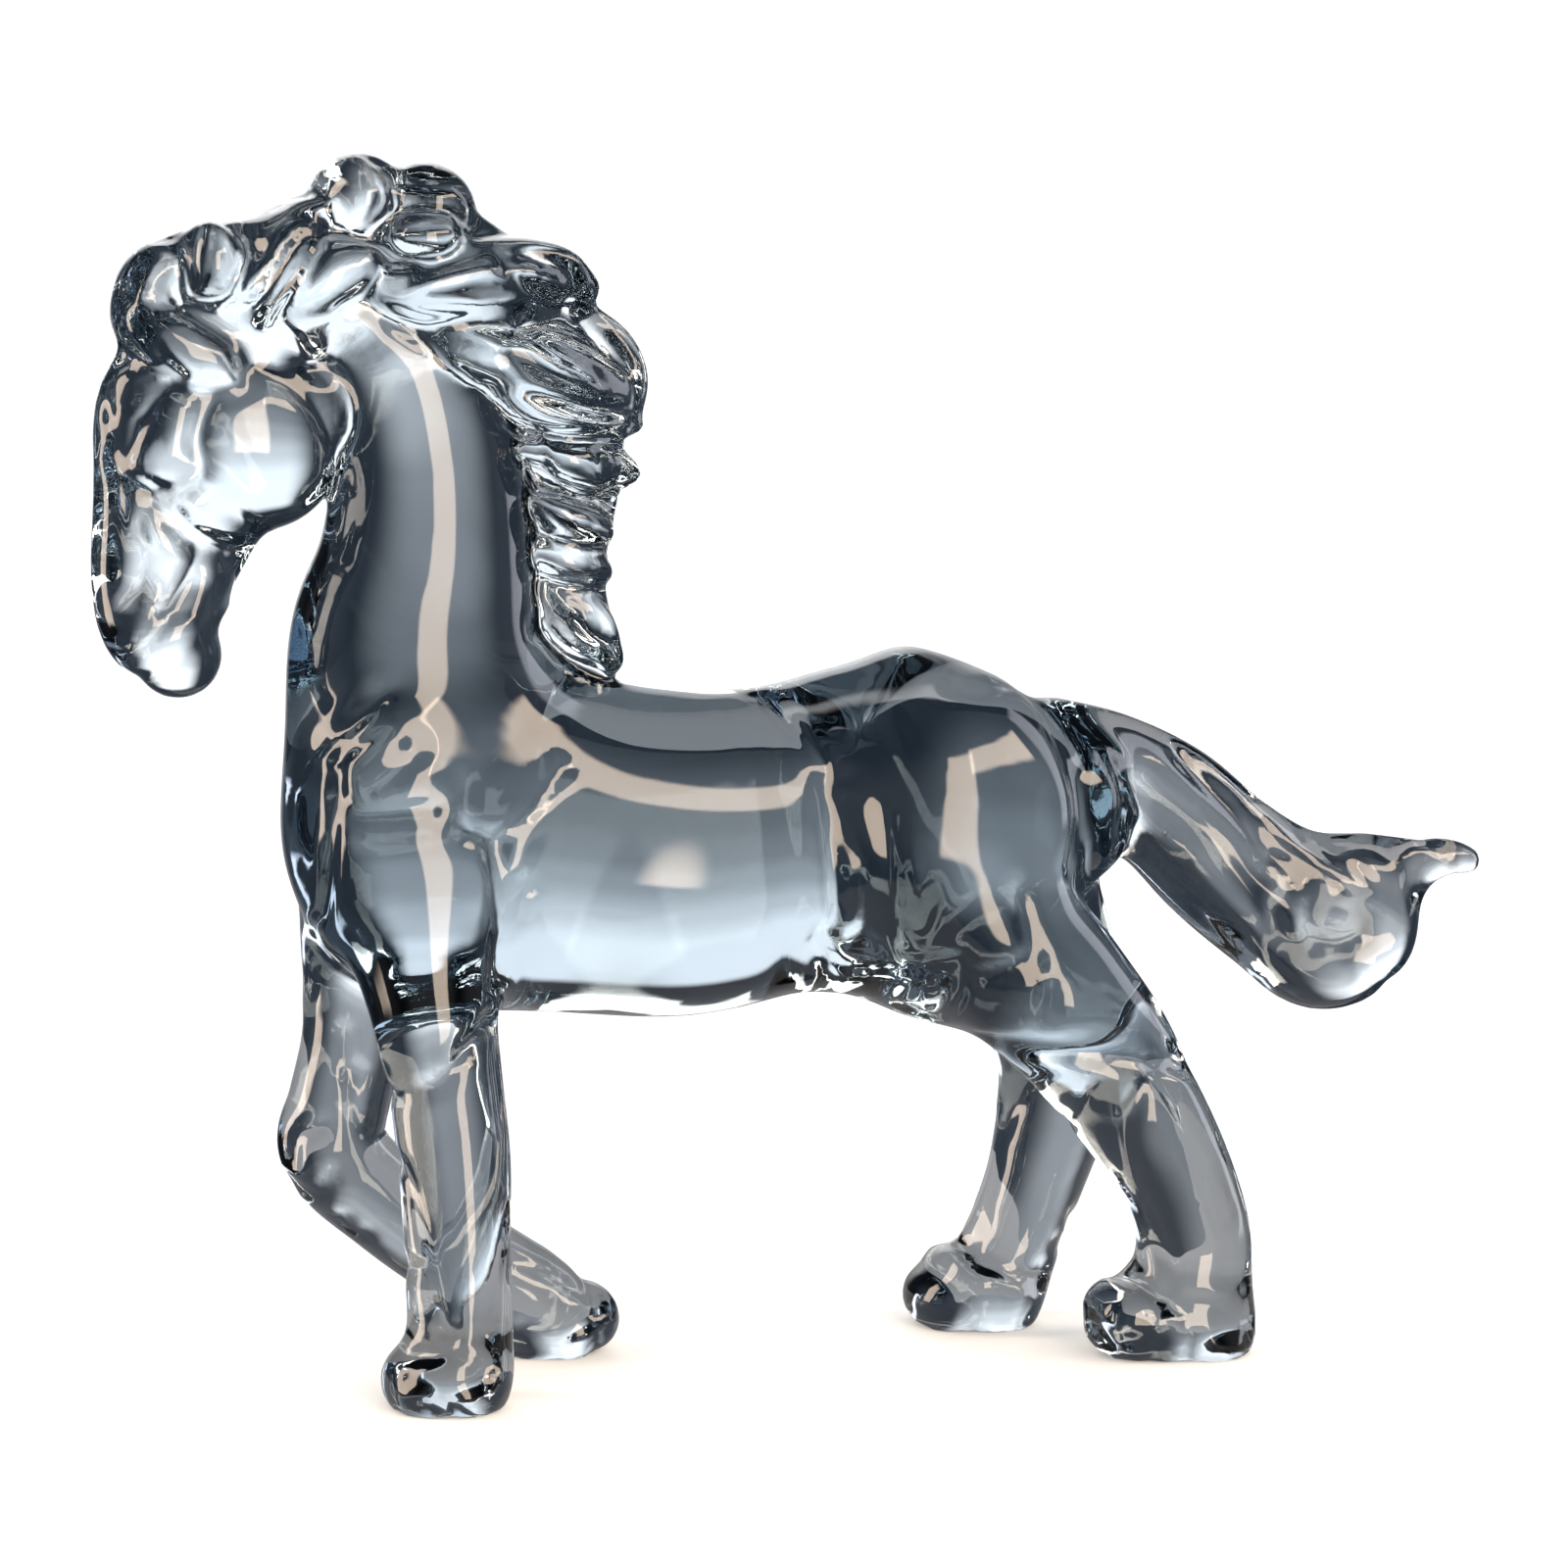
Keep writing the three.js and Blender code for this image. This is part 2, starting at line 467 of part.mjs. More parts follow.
// Evens the net out: each point moves half way to the middle of the points it is joined to.
function relax({ places, quads }) {
  for (let round = 0; round < RELAX_ROUNDS; round += 1) {
    const middle = places.map(() => ({ sum: new THREE.Vector3(), hits: 0 }));
    for (const quad of quads) {
      quad.forEach((point, i) => {
        middle[point].sum.add(places[quad[(i + 1) % 4]]);
        middle[point].hits += 1;
      });
    }
    middle.forEach(({ sum, hits }, i) => places[i].lerp(sum.divideScalar(hits), 0.5));
  }
}

// Splits each four-sided cell of the net along its shorter diagonal.
function triangles({ places, quads }) {
  return quads.flatMap(([a, b, c, d]) => {
    const first = places[a].distanceToSquared(places[c]) <= places[b].distanceToSquared(places[d]);
    return first ? [[a, b, c], [a, c, d]] : [[a, b, d], [b, c, d]];
  });
}

// How far, squared, a point is from a set of planes: the ten sums of a quadric.
class Quadric {
  constructor() {
    this.sums = new Float64Array(10);
  }

  addPlane({ x, y, z }, w, weight) {
    [x * x, x * y, x * z, x * w, y * y, y * z, y * w, z * z, z * w, w * w].forEach((term, i) => {
      this.sums[i] += term * weight;
    });
  }

  add(other) {
    other.sums.forEach((sum, i) => {
      this.sums[i] += sum;
    });
  }

  error({ x, y, z }) {
    const [xx, xy, xz, xw, yy, yz, yw, zz, zw, ww] = this.sums;
    const mixed = xy * x * y + xz * x * z + xw * x + yz * y * z + yw * y + zw * z;
    return xx * x * x + yy * y * y + zz * z * z + 2 * mixed + ww;
  }

  // The point of least error, or null where the planes leave it open.
  best() {
    const [xx, xy, xz, xw, yy, yz, yw, zz, zw] = this.sums;
    const matrix = new THREE.Matrix3().set(xx, xy, xz, xy, yy, yz, xz, yz, zz);
    const scale = (xx + yy + zz) / 3;
    if (Math.abs(matrix.determinant()) < 1e-3 * scale ** 3) return null;
    return new THREE.Vector3(-xw, -yw, -zw).applyMatrix3(matrix.invert());
  }
}

// Thins a closed surface to the wanted number of triangles. It joins the two ends of the edge that costs
// least, and never where that would fold the surface, pinch it or open it.
class Thinner {
  constructor(places, faces) {
    this.places = places;
    this.faces = faces;
    this.round = places.map(() => new Set());
    this.quadrics = places.map(() => new Quadric());
    this.stamp = new Uint32Array(places.length);
    this.heap = [];
    faces.forEach((face, f) => {
      const { normal, area } = this.shape(face);
      const w = -normal.dot(places[face[0]]);
      for (const point of face) {
        this.round[point].add(f);
        this.quadrics[point].addPlane(normal, w, area);
      }
    });
  }

  shape([a, b, c]) {
    const { places } = this;
    const normal = new THREE.Vector3().subVectors(places[b], places[a]);
    normal.cross(new THREE.Vector3().subVectors(places[c], places[a]));
    const area = normal.length() / 2;
    return { normal: normal.divideScalar(2 * area || 1), area };
  }

  neighbours(point) {
    const found = new Set();
    for (const f of this.round[point]) for (const other of this.faces[f]) found.add(other);
    found.delete(point);
    return found;
  }

  push(a, b) {
    const quadric = new Quadric();
    quadric.add(this.quadrics[a]);
    quadric.add(this.quadrics[b]);
    const [from, to] = [this.places[a], this.places[b]];
    const middle = from.clone().lerp(to, 0.5);
    const span = from.distanceTo(to);
    const best = quadric.best();
    const spot = best && best.distanceTo(middle) < span ? best : middle;
    const cost = Math.max(quadric.error(spot), 0) + 0.0004 * span ** 4;
    const entry = { cost, a, b, spot, stamps: [this.stamp[a], this.stamp[b]] };
    let child = this.heap.push(entry) - 1;
    while (child > 0) {
      const parent = (child - 1) >> 1;
      if (this.heap[parent].cost <= entry.cost) break;
      this.heap[child] = this.heap[parent];
      child = parent;
    }
    this.heap[child] = entry;
  }

  pop() {
    const top = this.heap[0];
    const entry = this.heap.pop();
    const size = this.heap.length;
    let spot = 0;
    while (size > 0) {
      let child = 2 * spot + 1;
      if (child >= size) break;
      if (child + 1 < size && this.heap[child + 1].cost < this.heap[child].cost) child += 1;
      if (this.heap[child].cost >= entry.cost) break;
      this.heap[spot] = this.heap[child];
      spot = child;
    }
    if (size > 0) this.heap[spot] = entry;
    return top;
  }

  // True where moving the point to the spot keeps its triangles, but those at the other end, well shaped.
  keepsShape(point, other, spot) {
    const kept = this.places[point];
    for (const f of this.round[point]) {
      const face = this.faces[f];
      if (face.includes(other)) continue;
      const before = this.shape(face).normal;
      this.places[point] = spot;
      const { normal, area } = this.shape(face);
      const edges = face.map((p, i) => this.places[p].distanceToSquared(this.places[face[(i + 1) % 3]]));
      this.places[point] = kept;
      if (before.dot(normal) < 0.4 || area < 0.06 * Math.max(...edges)) return false;
    }
    return true;
  }

  thin(target) {
    this.round.forEach((_, a) => {
      for (const b of this.neighbours(a)) if (a < b) this.push(a, b);
    });
    let left = this.faces.length;
    while (left > target && this.heap.length > 0) {
      const { a, b, spot, stamps } = this.pop();
      if (stamps[0] !== this.stamp[a] || stamps[1] !== this.stamp[b]) continue;
      const around = this.neighbours(b);
      const shared = [...this.neighbours(a)].filter((point) => around.has(point));
      if (shared.length !== 2) continue;
      if (!this.keepsShape(a, b, spot) || !this.keepsShape(b, a, spot)) continue;
      for (const f of [...this.round[b]]) {
        const face = this.faces[f];
        if (face.includes(a)) {
          for (const point of face) this.round[point].delete(f);
          this.faces[f] = null;
          left -= 1;
        } else {
          face[face.indexOf(b)] = a;
          this.round[a].add(f);
        }
      }
      this.round[b].clear();
      this.places[a] = spot;
      this.quadrics[a].add(this.quadrics[b]);
      this.stamp[a] += 1;
      this.stamp[b] = -1;
      const ring = this.neighbours(a);
      for (const point of ring) this.push(Math.min(a, point), Math.max(a, point));
    }
    return this.faces.filter(Boolean);
  }
}

// Puts the points that lie almost on the ground exactly on it, so that the cut leaves no slivers.
function settleSoles(places) {
  for (const point of places) {
    if (Math.abs(point.z) < SOLE_SNAP) point.z = 0;
  }
}

// Cuts away what lies under the ground and centres the horse over it.
async function cutFlat(places, faces) {
  const wasm = await Module();
  wasm.setup();
  const { Manifold, Mesh } = wasm;
  const solid = (points, corners) => new Manifold(new Mesh({
    numProp: 3,
    vertProperties: Float32Array.from(points.flatMap(({ x, y, z }) => [x, y, z])),
    triVerts: Uint32Array.from(corners.flat()),
  }));
  const ground = new THREE.BoxGeometry(2 * LENGTH, LENGTH, HUNDREDTH * 10).translate(0, 0, -HUNDREDTH * 5);
  const slab = solidPoints(ground);
  const cut = solid(places, faces).subtract(solid(slab.points, slab.corners)).getMesh();
  const geometry = new THREE.BufferGeometry();
  const flat = Float32Array.from(cut.vertProperties);
  geometry.setAttribute("position", new THREE.BufferAttribute(flat, cut.numProp));
  geometry.setIndex(new THREE.BufferAttribute(Uint32Array.from(cut.triVerts), 1));
  geometry.computeBoundingBox();
  const middle = geometry.boundingBox.getCenter(new THREE.Vector3());
  geometry.translate(-middle.x, -middle.y, 0);
  geometry.computeVertexNormals();
  return geometry;
}

// The corners of a three.js box with its doubled corners joined.
function solidPoints(geometry) {
  const position = geometry.getAttribute("position");
  const points = [];
  const known = new Map();
  const joined = Array.from({ length: position.count }, (_, i) => {
    const point = new THREE.Vector3().fromBufferAttribute(position, i);
    const key = point.toArray().join(",");
    if (!known.has(key)) known.set(key, points.push(point) - 1);
    return known.get(key);
  });
  const corners = Array.from(geometry.index.array, (i) => joined[i]);
  return { points, corners: [corners] };
}

// The field's box: the whole horse and a margin.
function fieldBox() {
  return new THREE.Box3(place([-53, -17, -10]), place([54, 17, 90]));
}

function shapeHorse() {
  const field = new Field(fieldBox());
  for (const limb of LIMBS) addLimb(field, limb);
  for (const egg of EGGS) addEgg(field, egg);
  for (const limb of [...HAIR, ...LOCKS.map(lockLimb)]) {
    addLimb(field, limb);
    if (limb.both) addLimb(field, limb, -1);
  }
  for (const mark of MARKS) pressMark(field, mark);
  closePinholes(field);
  fillHollows(field);
  const net = netSurface(field);
  relax(net);
  const thinner = new Thinner(net.places, triangles(net));
  const faces = thinner.thin(TRIANGLES);
  settleSoles(net.places);
  return tidyIndex(net.places, faces);
}

// Drops the points that no triangle uses.
function tidyIndex(places, faces) {
  const kept = new Map();
  const points = [];
  const corners = faces.map((face) => face.map((point) => {
    if (!kept.has(point)) kept.set(point, points.push(places[point]) - 1);
    return kept.get(point);
  }));
  return { points, corners };
}

const { points, corners } = shapeHorse();
const glass = new THREE.MeshStandardMaterial({
  color: GLASS_COLOUR,
  roughness: 0.03,
  metalness: 0,
  transparent: true,
  opacity: 0.45,
});
const horse = new THREE.Mesh(await cutFlat(points, corners), glass);
horse.name = "glass_horse";

const statue = new THREE.Group();
statue.add(horse);

export default statue;
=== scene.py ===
import math

import bpy
import numpy as np
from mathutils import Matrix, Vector


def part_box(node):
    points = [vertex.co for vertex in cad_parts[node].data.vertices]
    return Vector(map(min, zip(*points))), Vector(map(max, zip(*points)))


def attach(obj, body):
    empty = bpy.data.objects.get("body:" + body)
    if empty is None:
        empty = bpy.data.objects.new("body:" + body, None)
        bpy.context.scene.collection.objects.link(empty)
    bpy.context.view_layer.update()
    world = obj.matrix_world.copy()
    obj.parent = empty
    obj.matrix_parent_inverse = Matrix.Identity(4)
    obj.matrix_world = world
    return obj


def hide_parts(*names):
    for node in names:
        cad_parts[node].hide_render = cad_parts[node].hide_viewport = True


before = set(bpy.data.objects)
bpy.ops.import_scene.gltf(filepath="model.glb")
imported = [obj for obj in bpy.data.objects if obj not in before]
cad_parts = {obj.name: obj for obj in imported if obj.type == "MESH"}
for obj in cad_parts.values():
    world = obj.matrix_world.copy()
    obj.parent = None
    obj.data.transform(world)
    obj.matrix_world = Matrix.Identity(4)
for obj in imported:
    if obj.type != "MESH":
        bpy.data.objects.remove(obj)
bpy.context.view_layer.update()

CAD_LOW, CAD_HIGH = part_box("glass_horse")

# The horse's sizes, in millimetres, as in the solid
LENGTH = 280
BARREL_DEPTH = 67.5
BARREL_WIDTH = 55.5
NECK_DEPTH = 49.5
NECK_WIDTH = 51.5
HEAD_DEPTH = 41.5
HEAD_WIDTH = 31.5
FORELEG_DEPTH = 34.5
BENT_FORELEG_DEPTH = 30
FORELEG_WIDTH = 27
NEAR_THIGH_DEPTH = 45
FAR_THIGH_DEPTH = 42
THIGH_WIDTH = 31.5
HOOF_WIDTH = 28
TAIL_DEPTH = 35
TAIL_WIDTH = 24
CREST_DEPTH = 24.5
CREST_WIDTH = 20
FORELOCK_DEPTH = 15.5
FORELOCK_WIDTH = 25.5

# The box that the surface is worked out in, in hundredths of LENGTH, and the steps of the samples in it, in
# millimetres. FAR is more than any distance in it.
FIELD_LOW = (-53, -17, -7)
FIELD_HIGH = (54, 17, 88)
SAMPLE_STEP = 1.2
FAR = 1000.0

# Steps to each span of a smooth run, and how far past a limb its samples reach, in millimetres
SPAN_STEPS = 6
LIMB_SPARE = 2

# How many half widths to each side of a line are pressed
LINE_REACH = 3

# The far flank's lines, as shares of the near flank's width and depth
FAR_LINE_WIDTH = 1.5
FAR_LINE_DEPTH = 0.45

# How often the net's points are evened out, set back on the surface, and evened out once more. A point moves
# at most this share of a step at a time, and a flatter slope than the least one counts as that.
EVEN_ROUNDS = 4
SETTLE_ROUNDS = 2
LAST_ROUNDS = 1
SETTLE_SHARE = 0.5
LEAST_SLOPE = 0.1

# The soles' softened edge, and how near the ground a point is set on it, in millimetres
SOLE_ROUND = 1.6
SOLE_SNAP = 0.35

HUNDREDTH = LENGTH / 100

# A limb: its name, depth, width and flow, the reach over which it melts into the rest. Then rows of
# along, across and up in hundredths of LENGTH, and its section in hundredths of its depth and width.
# Depth, width and flow are in millimetres.
LIMBS = [
    ("trunk", BARREL_DEPTH, BARREL_WIDTH, 16, [
        (-27.6, 0, 37.8, 81, 93), (-22.8, 0, 37.6, 97, 100), (-15.9, 0, 36.5, 95, 96),
        (-9, 0, 35.8, 93, 96), (-1.9, 0, 36.5, 88, 93), (3, 0, 37.1, 92, 93),
        (8.3, 0, 37.4, 100, 100), (14.4, 0, 38, 76, 96), (17.3, 0, 38.2, 51, 71)]),
    ("neck", NECK_DEPTH, NECK_WIDTH, 16, [
        (-26.8, 0, 34.4, 75, 96), (-27.3, 0, 39.8, 90, 100), (-27.7, 0, 45.2, 100, 96),
        (-27.8, 0, 51.2, 98, 85), (-27, 0, 57.1, 83, 77), (-27, 0, 63, 74, 69),
        (-28.2, 0, 69, 68, 65), (-31.4, 0, 73.5, 59, 62), (-35.4, 0, 75, 49, 58)]),
    ("head", HEAD_DEPTH, HEAD_WIDTH, 9, [
        (-36.1, 0, 74.4, 53, 81), (-40.5, 0, 71.6, 79, 94), (-42.4, 0, 66.1, 100, 100),
        (-44.2, 0, 60.2, 79, 88), (-45.3, 0, 55.7, 65, 69), (-45.1, 0, 52.4, 58, 72),
        (-44.3, 0, 50.6, 40, 62)]),
    ("near foreleg", FORELEG_DEPTH, FORELEG_WIDTH, 12, [
        (-29.1, -5, 38.5, 100, 102), (-28.9, -5.7, 32.7, 83, 102), (-28.6, -6.4, 27.4, 70, 95),
        (-27.8, -6.7, 22.1, 63, 88), (-27.3, -7.1, 16.8, 62, 84), (-27.2, -7.4, 12.2, 59, 81),
        (-27.1, -7.4, 8.2, 58, 81), (-27.1, -7.8, 4.9, 57, 84), (-27.5, -7.8, 1.4, 53, 88)]),
    ("near fore hoof", 15.5, HOOF_WIDTH, 8, [
        (-26.4, -7.8, 2.1, 81, 92), (-28, -7.8, 2, 100, 102), (-29.9, -7.8, 1.7, 90, 95)]),
    ("far foreleg", BENT_FORELEG_DEPTH, FORELEG_WIDTH, 12, [
        (-28.4, 5, 36.5, 100, 95), (-30.5, 5.7, 29.7, 78, 87), (-30.8, 6.4, 23.5, 67, 81),
        (-31.9, 6.7, 18.5, 65, 81), (-32.4, 6.7, 15.2, 69, 81), (-28.3, 7.1, 11.1, 66, 81),
        (-23.8, 7.1, 7.7, 66, 81), (-19.1, 7.1, 4.8, 61, 81)]),
    ("far fore hoof", 20.5, HOOF_WIDTH, 6, [
        (-17.7, 7.4, 2.7, 100, 85), (-15.4, 7.4, 2.4, 93, 92), (-14.4, 7.4, 2.4, 68, 81)]),
    ("near hind leg", NEAR_THIGH_DEPTH, THIGH_WIDTH, 12, [
        (9, -4.2, 36.9, 100, 100), (11.1, -5.3, 31.2, 75, 100), (15.5, -6, 26, 69, 94),
        (19, -6, 21.8, 64, 81), (21.7, -6, 17.7, 57, 78), (24.4, -5.7, 13.3, 51, 75),
        (26.2, -5.3, 8.8, 49, 75), (26.3, -5.3, 5.3, 51, 75), (26.2, -5.3, 2.2, 49, 78),
        (26.2, -5.3, -0.8, 44, 75)]),
    ("near hind hoof", 20.5, HOOF_WIDTH, 8, [
        (27.6, -5.3, 1.8, 71, 93), (24.4, -5.3, 2.8, 100, 100), (21.4, -5.3, 2.6, 83, 93)]),
    ("far hind leg", FAR_THIGH_DEPTH, THIGH_WIDTH, 12, [
        (14, 4.2, 33.5, 100, 100), (18.3, 5.3, 26.2, 77, 94), (20.3, 6.4, 19.6, 59, 81),
        (20, 7.1, 14.6, 53, 75), (19, 7.8, 10, 46, 72), (17.6, 8.1, 6.1, 46, 72),
        (16.1, 8.1, 2.8, 43, 75), (15.8, 8.1, 0.1, 37, 75)]),
    ("far hind hoof", 18, HOOF_WIDTH, 8, [
        (16.6, 8.1, 2.5, 83, 93), (14, 8.1, 2.7, 100, 100), (12.2, 8.1, 2, 78, 89)]),
    ("tail", TAIL_DEPTH, TAIL_WIDTH, 6, [
        (17.5, 0.7, 41.3, 66, 92), (21.9, 1.4, 39.9, 70, 100), (26.6, 1.8, 37.3, 75, 100),
        (30.5, 1.8, 33.7, 80, 100), (34.7, 1.8, 30.6, 86, 100), (38.7, 1.8, 28.6, 100, 100),
        (41.4, 1.8, 29.2, 84, 92)]),
    ("tail tip", TAIL_DEPTH, TAIL_WIDTH, 7, [
        (38.5, 1.8, 30.2, 62, 75), (41.6, 1.8, 31.2, 56, 70), (44.2, 1.8, 32.1, 42, 56),
        (46.3, 1.8, 32.7, 27, 44), (48.1, 1.8, 32.9, 20, 40), (49.4, 1.8, 32.6, 16, 33)]),
    ("groin", 29.5, 35.5, 14, [
        (3.7, 0, 30.8, 82, 89), (8.7, 0, 28.9, 97, 100), (13.7, 0, 27.6, 100, 100)]),
    ("crest", CREST_DEPTH, CREST_WIDTH, 8, [
        (-34, 0, 76.8, 75, 90), (-29.3, 0, 78.5, 72, 100), (-24.6, 0, 76.5, 75, 100),
        (-20.6, 0, 72.1, 91, 100), (-17.9, 0, 66.1, 100, 90), (-17.2, 0, 60.8, 79, 80),
        (-17.6, 0, 55.5, 64, 80), (-16.5, 0, 50.8, 55, 80)]),
]

# A muscle or a bead of hair: an egg by its middle, its half sizes in millimetres along, across and up,
# the turn of its front upwards in degrees, and its flow.
EGGS = [
    ("near cheek", (-39.4, -3.2, 65.4), (14, 8.4, 14), 0, 4),
    ("far cheek", (-38.2, 3.2, 65), (14, 8.4, 14), 0, 4),
    ("jaw", (-37.8, 0, 62.2), (11, 12, 9.2), 20, 5),
    ("throat", (-34.5, 0, 67.2), (8.4, 12, 11), 0, 5),
    ("near shoulder", (-30.9, -5.7, 42), (12.8, 12, 16.8), 12, 10),
    ("far shoulder", (-28.1, 5.7, 40.5), (13, 12, 17.2), 12, 10),
    ("near haunch", (8.2, -5.3, 39.1), (17.6, 14, 22.9), -25, 12),
    ("far haunch", (11.7, 5.3, 37.6), (18, 14, 23.4), -25, 12),
    ("front topknot", (-31.7, 0, 80.7), (9.1, 14, 8.8), 0, 3),
    ("back topknot", (-27.1, 0, 79.9), (9.2, 15, 9.2), 0, 3),
    ("near topknot lobe", (-28, -4.2, 78.3), (7.6, 7, 4.7), 0, 2),
    ("far topknot lobe", (-26.5, 4.2, 78), (7.6, 7, 4.7), 0, 2),
    ("near temple", (-34.7, -4.2, 75.6), (11.2, 7, 6.2), 25, 2.5),
    ("far temple", (-33.2, 4.2, 75.2), (11.2, 7, 6.2), 25, 2.5),
    ("near forelock lobe", (-42.4, -2.5, 76.9), (5.4, 9, 7.6), 0, 2.5),
    ("far forelock lobe", (-41.3, 2.5, 76.6), (5.4, 9, 7.6), 0, 2.5),
]

# Hair that lies on top of the rest, as limbs, and hair that each side has
HAIR = [
    ("forelock", FORELOCK_DEPTH, FORELOCK_WIDTH, 3, [
        (-38.6, 0, 76.9, 95, 92), (-42.4, 0, 76.3, 100, 100), (-45.2, 0, 75.2, 100, 100),
        (-46.2, -1.1, 73, 81, 92), (-44.5, -3.2, 71.3, 80, 62), (-42.3, -4.2, 70.5, 61, 46)]),
    ("upper rim", 5.5, 18, 1.5, [
        (-25.2, -2.1, 77.1, 93, 100), (-21.2, -2.1, 77.2, 93, 100), (-18.3, -1.9, 76.5, 98, 94),
        (-17, -1.6, 75.1, 92, 84), (-16.9, -1.4, 73.6, 76, 78)]),
    ("lower rim", 6, 14, 1.5, [
        (-16.4, -0.7, 72.8, 87, 100), (-14.1, -0.7, 70.9, 100, 100), (-13, -0.7, 68.5, 94, 100),
        (-13.4, -0.7, 66.2, 88, 86)]),
]
PAIRED_HAIR = [
    ("forelock strand", 10, 20, 2.5, [
        (-36, -0.7, 79.1, 89, 100), (-38, -2.1, 77.7, 100, 90), (-40.4, -3.9, 75, 66, 60)]),
    ("ear", 3.4, 4.4, 1.2, [
        (-39.4, -5.3, 73.1, 67, 73), (-38, -5.3, 75.8, 100, 100), (-36, -3.9, 78.6, 67, 73)]),
]

# A lock of the mane: its root on the side of the neck and its tip over the crest (along, up), how far its
# middle lifts, how far its root stands out, and its thickness and width in millimetres.
LOCKS = [
    ((-32.2, 74.6), (-17.2, 74.8), 1.1, 4, 12.4, 17.8),
    ((-32.3, 74.2), (-17.3, 73.4), -0.6, 4.4, 7.3, 12),
    ((-27.7, 72), (-14.3, 67.3), 0, 4.5, 14, 17.8),
    ((-23.9, 68.7), (-14, 65.4), -0.9, 4.3, 7.4, 15.8),
    ((-20.7, 64.1), (-14.5, 62.3), 0, 3.7, 12.2, 15.8),
    ((-19.9, 60.3), (-16.1, 58.4), -0.2, 3.2, 9.2, 14),
    ((-19.9, 57), (-16.1, 55.7), 0, 2.8, 8.9, 14),
    ((-19.4, 54.2), (-15.1, 49.8), 0.2, 2.4, 11.8, 14),
]
LOCK_FLOW = 1.8
LOCK_DEPTHS = (38, 82, 100, 94, 62)
LOCK_WIDTHS = (68, 88, 100, 98, 88)
LOCK_STANDS = (100, 115, 104, 64, 26)

# A tool mark: rows of along, across and up in hundredths, then half width and depth in millimetres.
MARKS = [
    ("cheek edge", [(-43.3, -5.7, 68.4, 1.8, 1), (-44.1, -5.7, 65.9, 1.8, 1.4),
                    (-44.9, -5.3, 63.3, 1.8, 1.4), (-46.3, -5, 61.9, 1.8, 1.4), (-45.2, -4.6, 59.6, 2, 1.4)]),
    ("jaw pinch", [(-44, -3.9, 58.6, 2.2, 1.6), (-41.2, -3.2, 57.7, 2.4, 1.6)]),
    ("nostril", [(-44.9, -3.9, 54.3, 2, 2.2), (-44.3, -3.9, 56, 1.6, 1.2)]),
    ("chest pinch", [(-35, -7.1, 44.8, 2.4, 1.4), (-33.3, -7.4, 46.6, 2.4, 1.6),
                     (-31.3, -7.4, 48.5, 2.2, 1)]),
    ("elbow pinch", [(-26.1, -9.2, 38.4, 2.4, 1.6), (-25.1, -9.2, 39.2, 2.2, 1.4)]),
    ("flank fold", [(-1.4, -9.2, 40, 4, 1.2), (-0.9, -9.2, 34.6, 4, 1.8), (0.5, -9.2, 30.2, 4, 1.8),
                    (1.5, -7.1, 27.1, 4, 1.2)]),
    ("stifle pinch", [(2.1, -8.5, 29.1, 2.6, 1.8), (3.7, -8.5, 29.7, 2.6, 1.6)]),
    ("gaskin crease", [(12.3, -8.5, 22.2, 2.6, 1.4), (15.8, -10.6, 23, 2.6, 1.8),
                       (20, -10.6, 22.9, 2.6, 1.8), (25, -7.8, 20.5, 2.6, 1.2)]),
    ("near fetlock pinch", [(20.4, -9.9, 7.1, 2.4, 1.2), (21.9, -10.6, 4.8, 2.4, 1.8),
                            (25.2, -10.6, 4.2, 2.2, 1.2)]),
    ("near hind cleft", [(23.2, -11, 3.5, 1.6, 0.6), (23.4, -11, 0.7, 1.8, 1.4)]),
    ("far fetlock pinch", [(13.3, 2.8, 6.5, 2.4, 1.6), (13.6, 2.8, 5.2, 2.2, 1.2)]),
    ("cannon groove", [(-29.9, -10.3, 21.5, 4, 0.8), (-29.3, -10.3, 13.5, 4, 1.4), (-28, -10.3, 5.8, 3, 1)]),
    ("tail groove", [(25.4, -1.4, 42.6, 3, 0.6), (29.1, -2.1, 38.8, 3.4, 2), (32.3, -2.5, 34.9, 3.4, 2.4),
                     (34.7, -2.5, 31.8, 3.4, 2.2), (36.4, -2.5, 29, 3, 1.2)]),
    ("tail dimple", [(37.7, -2.5, 28.4, 5, 2), (39.3, -2.5, 28.5, 6, 2.6), (40.8, -2.5, 28.3, 5, 2)]),
]

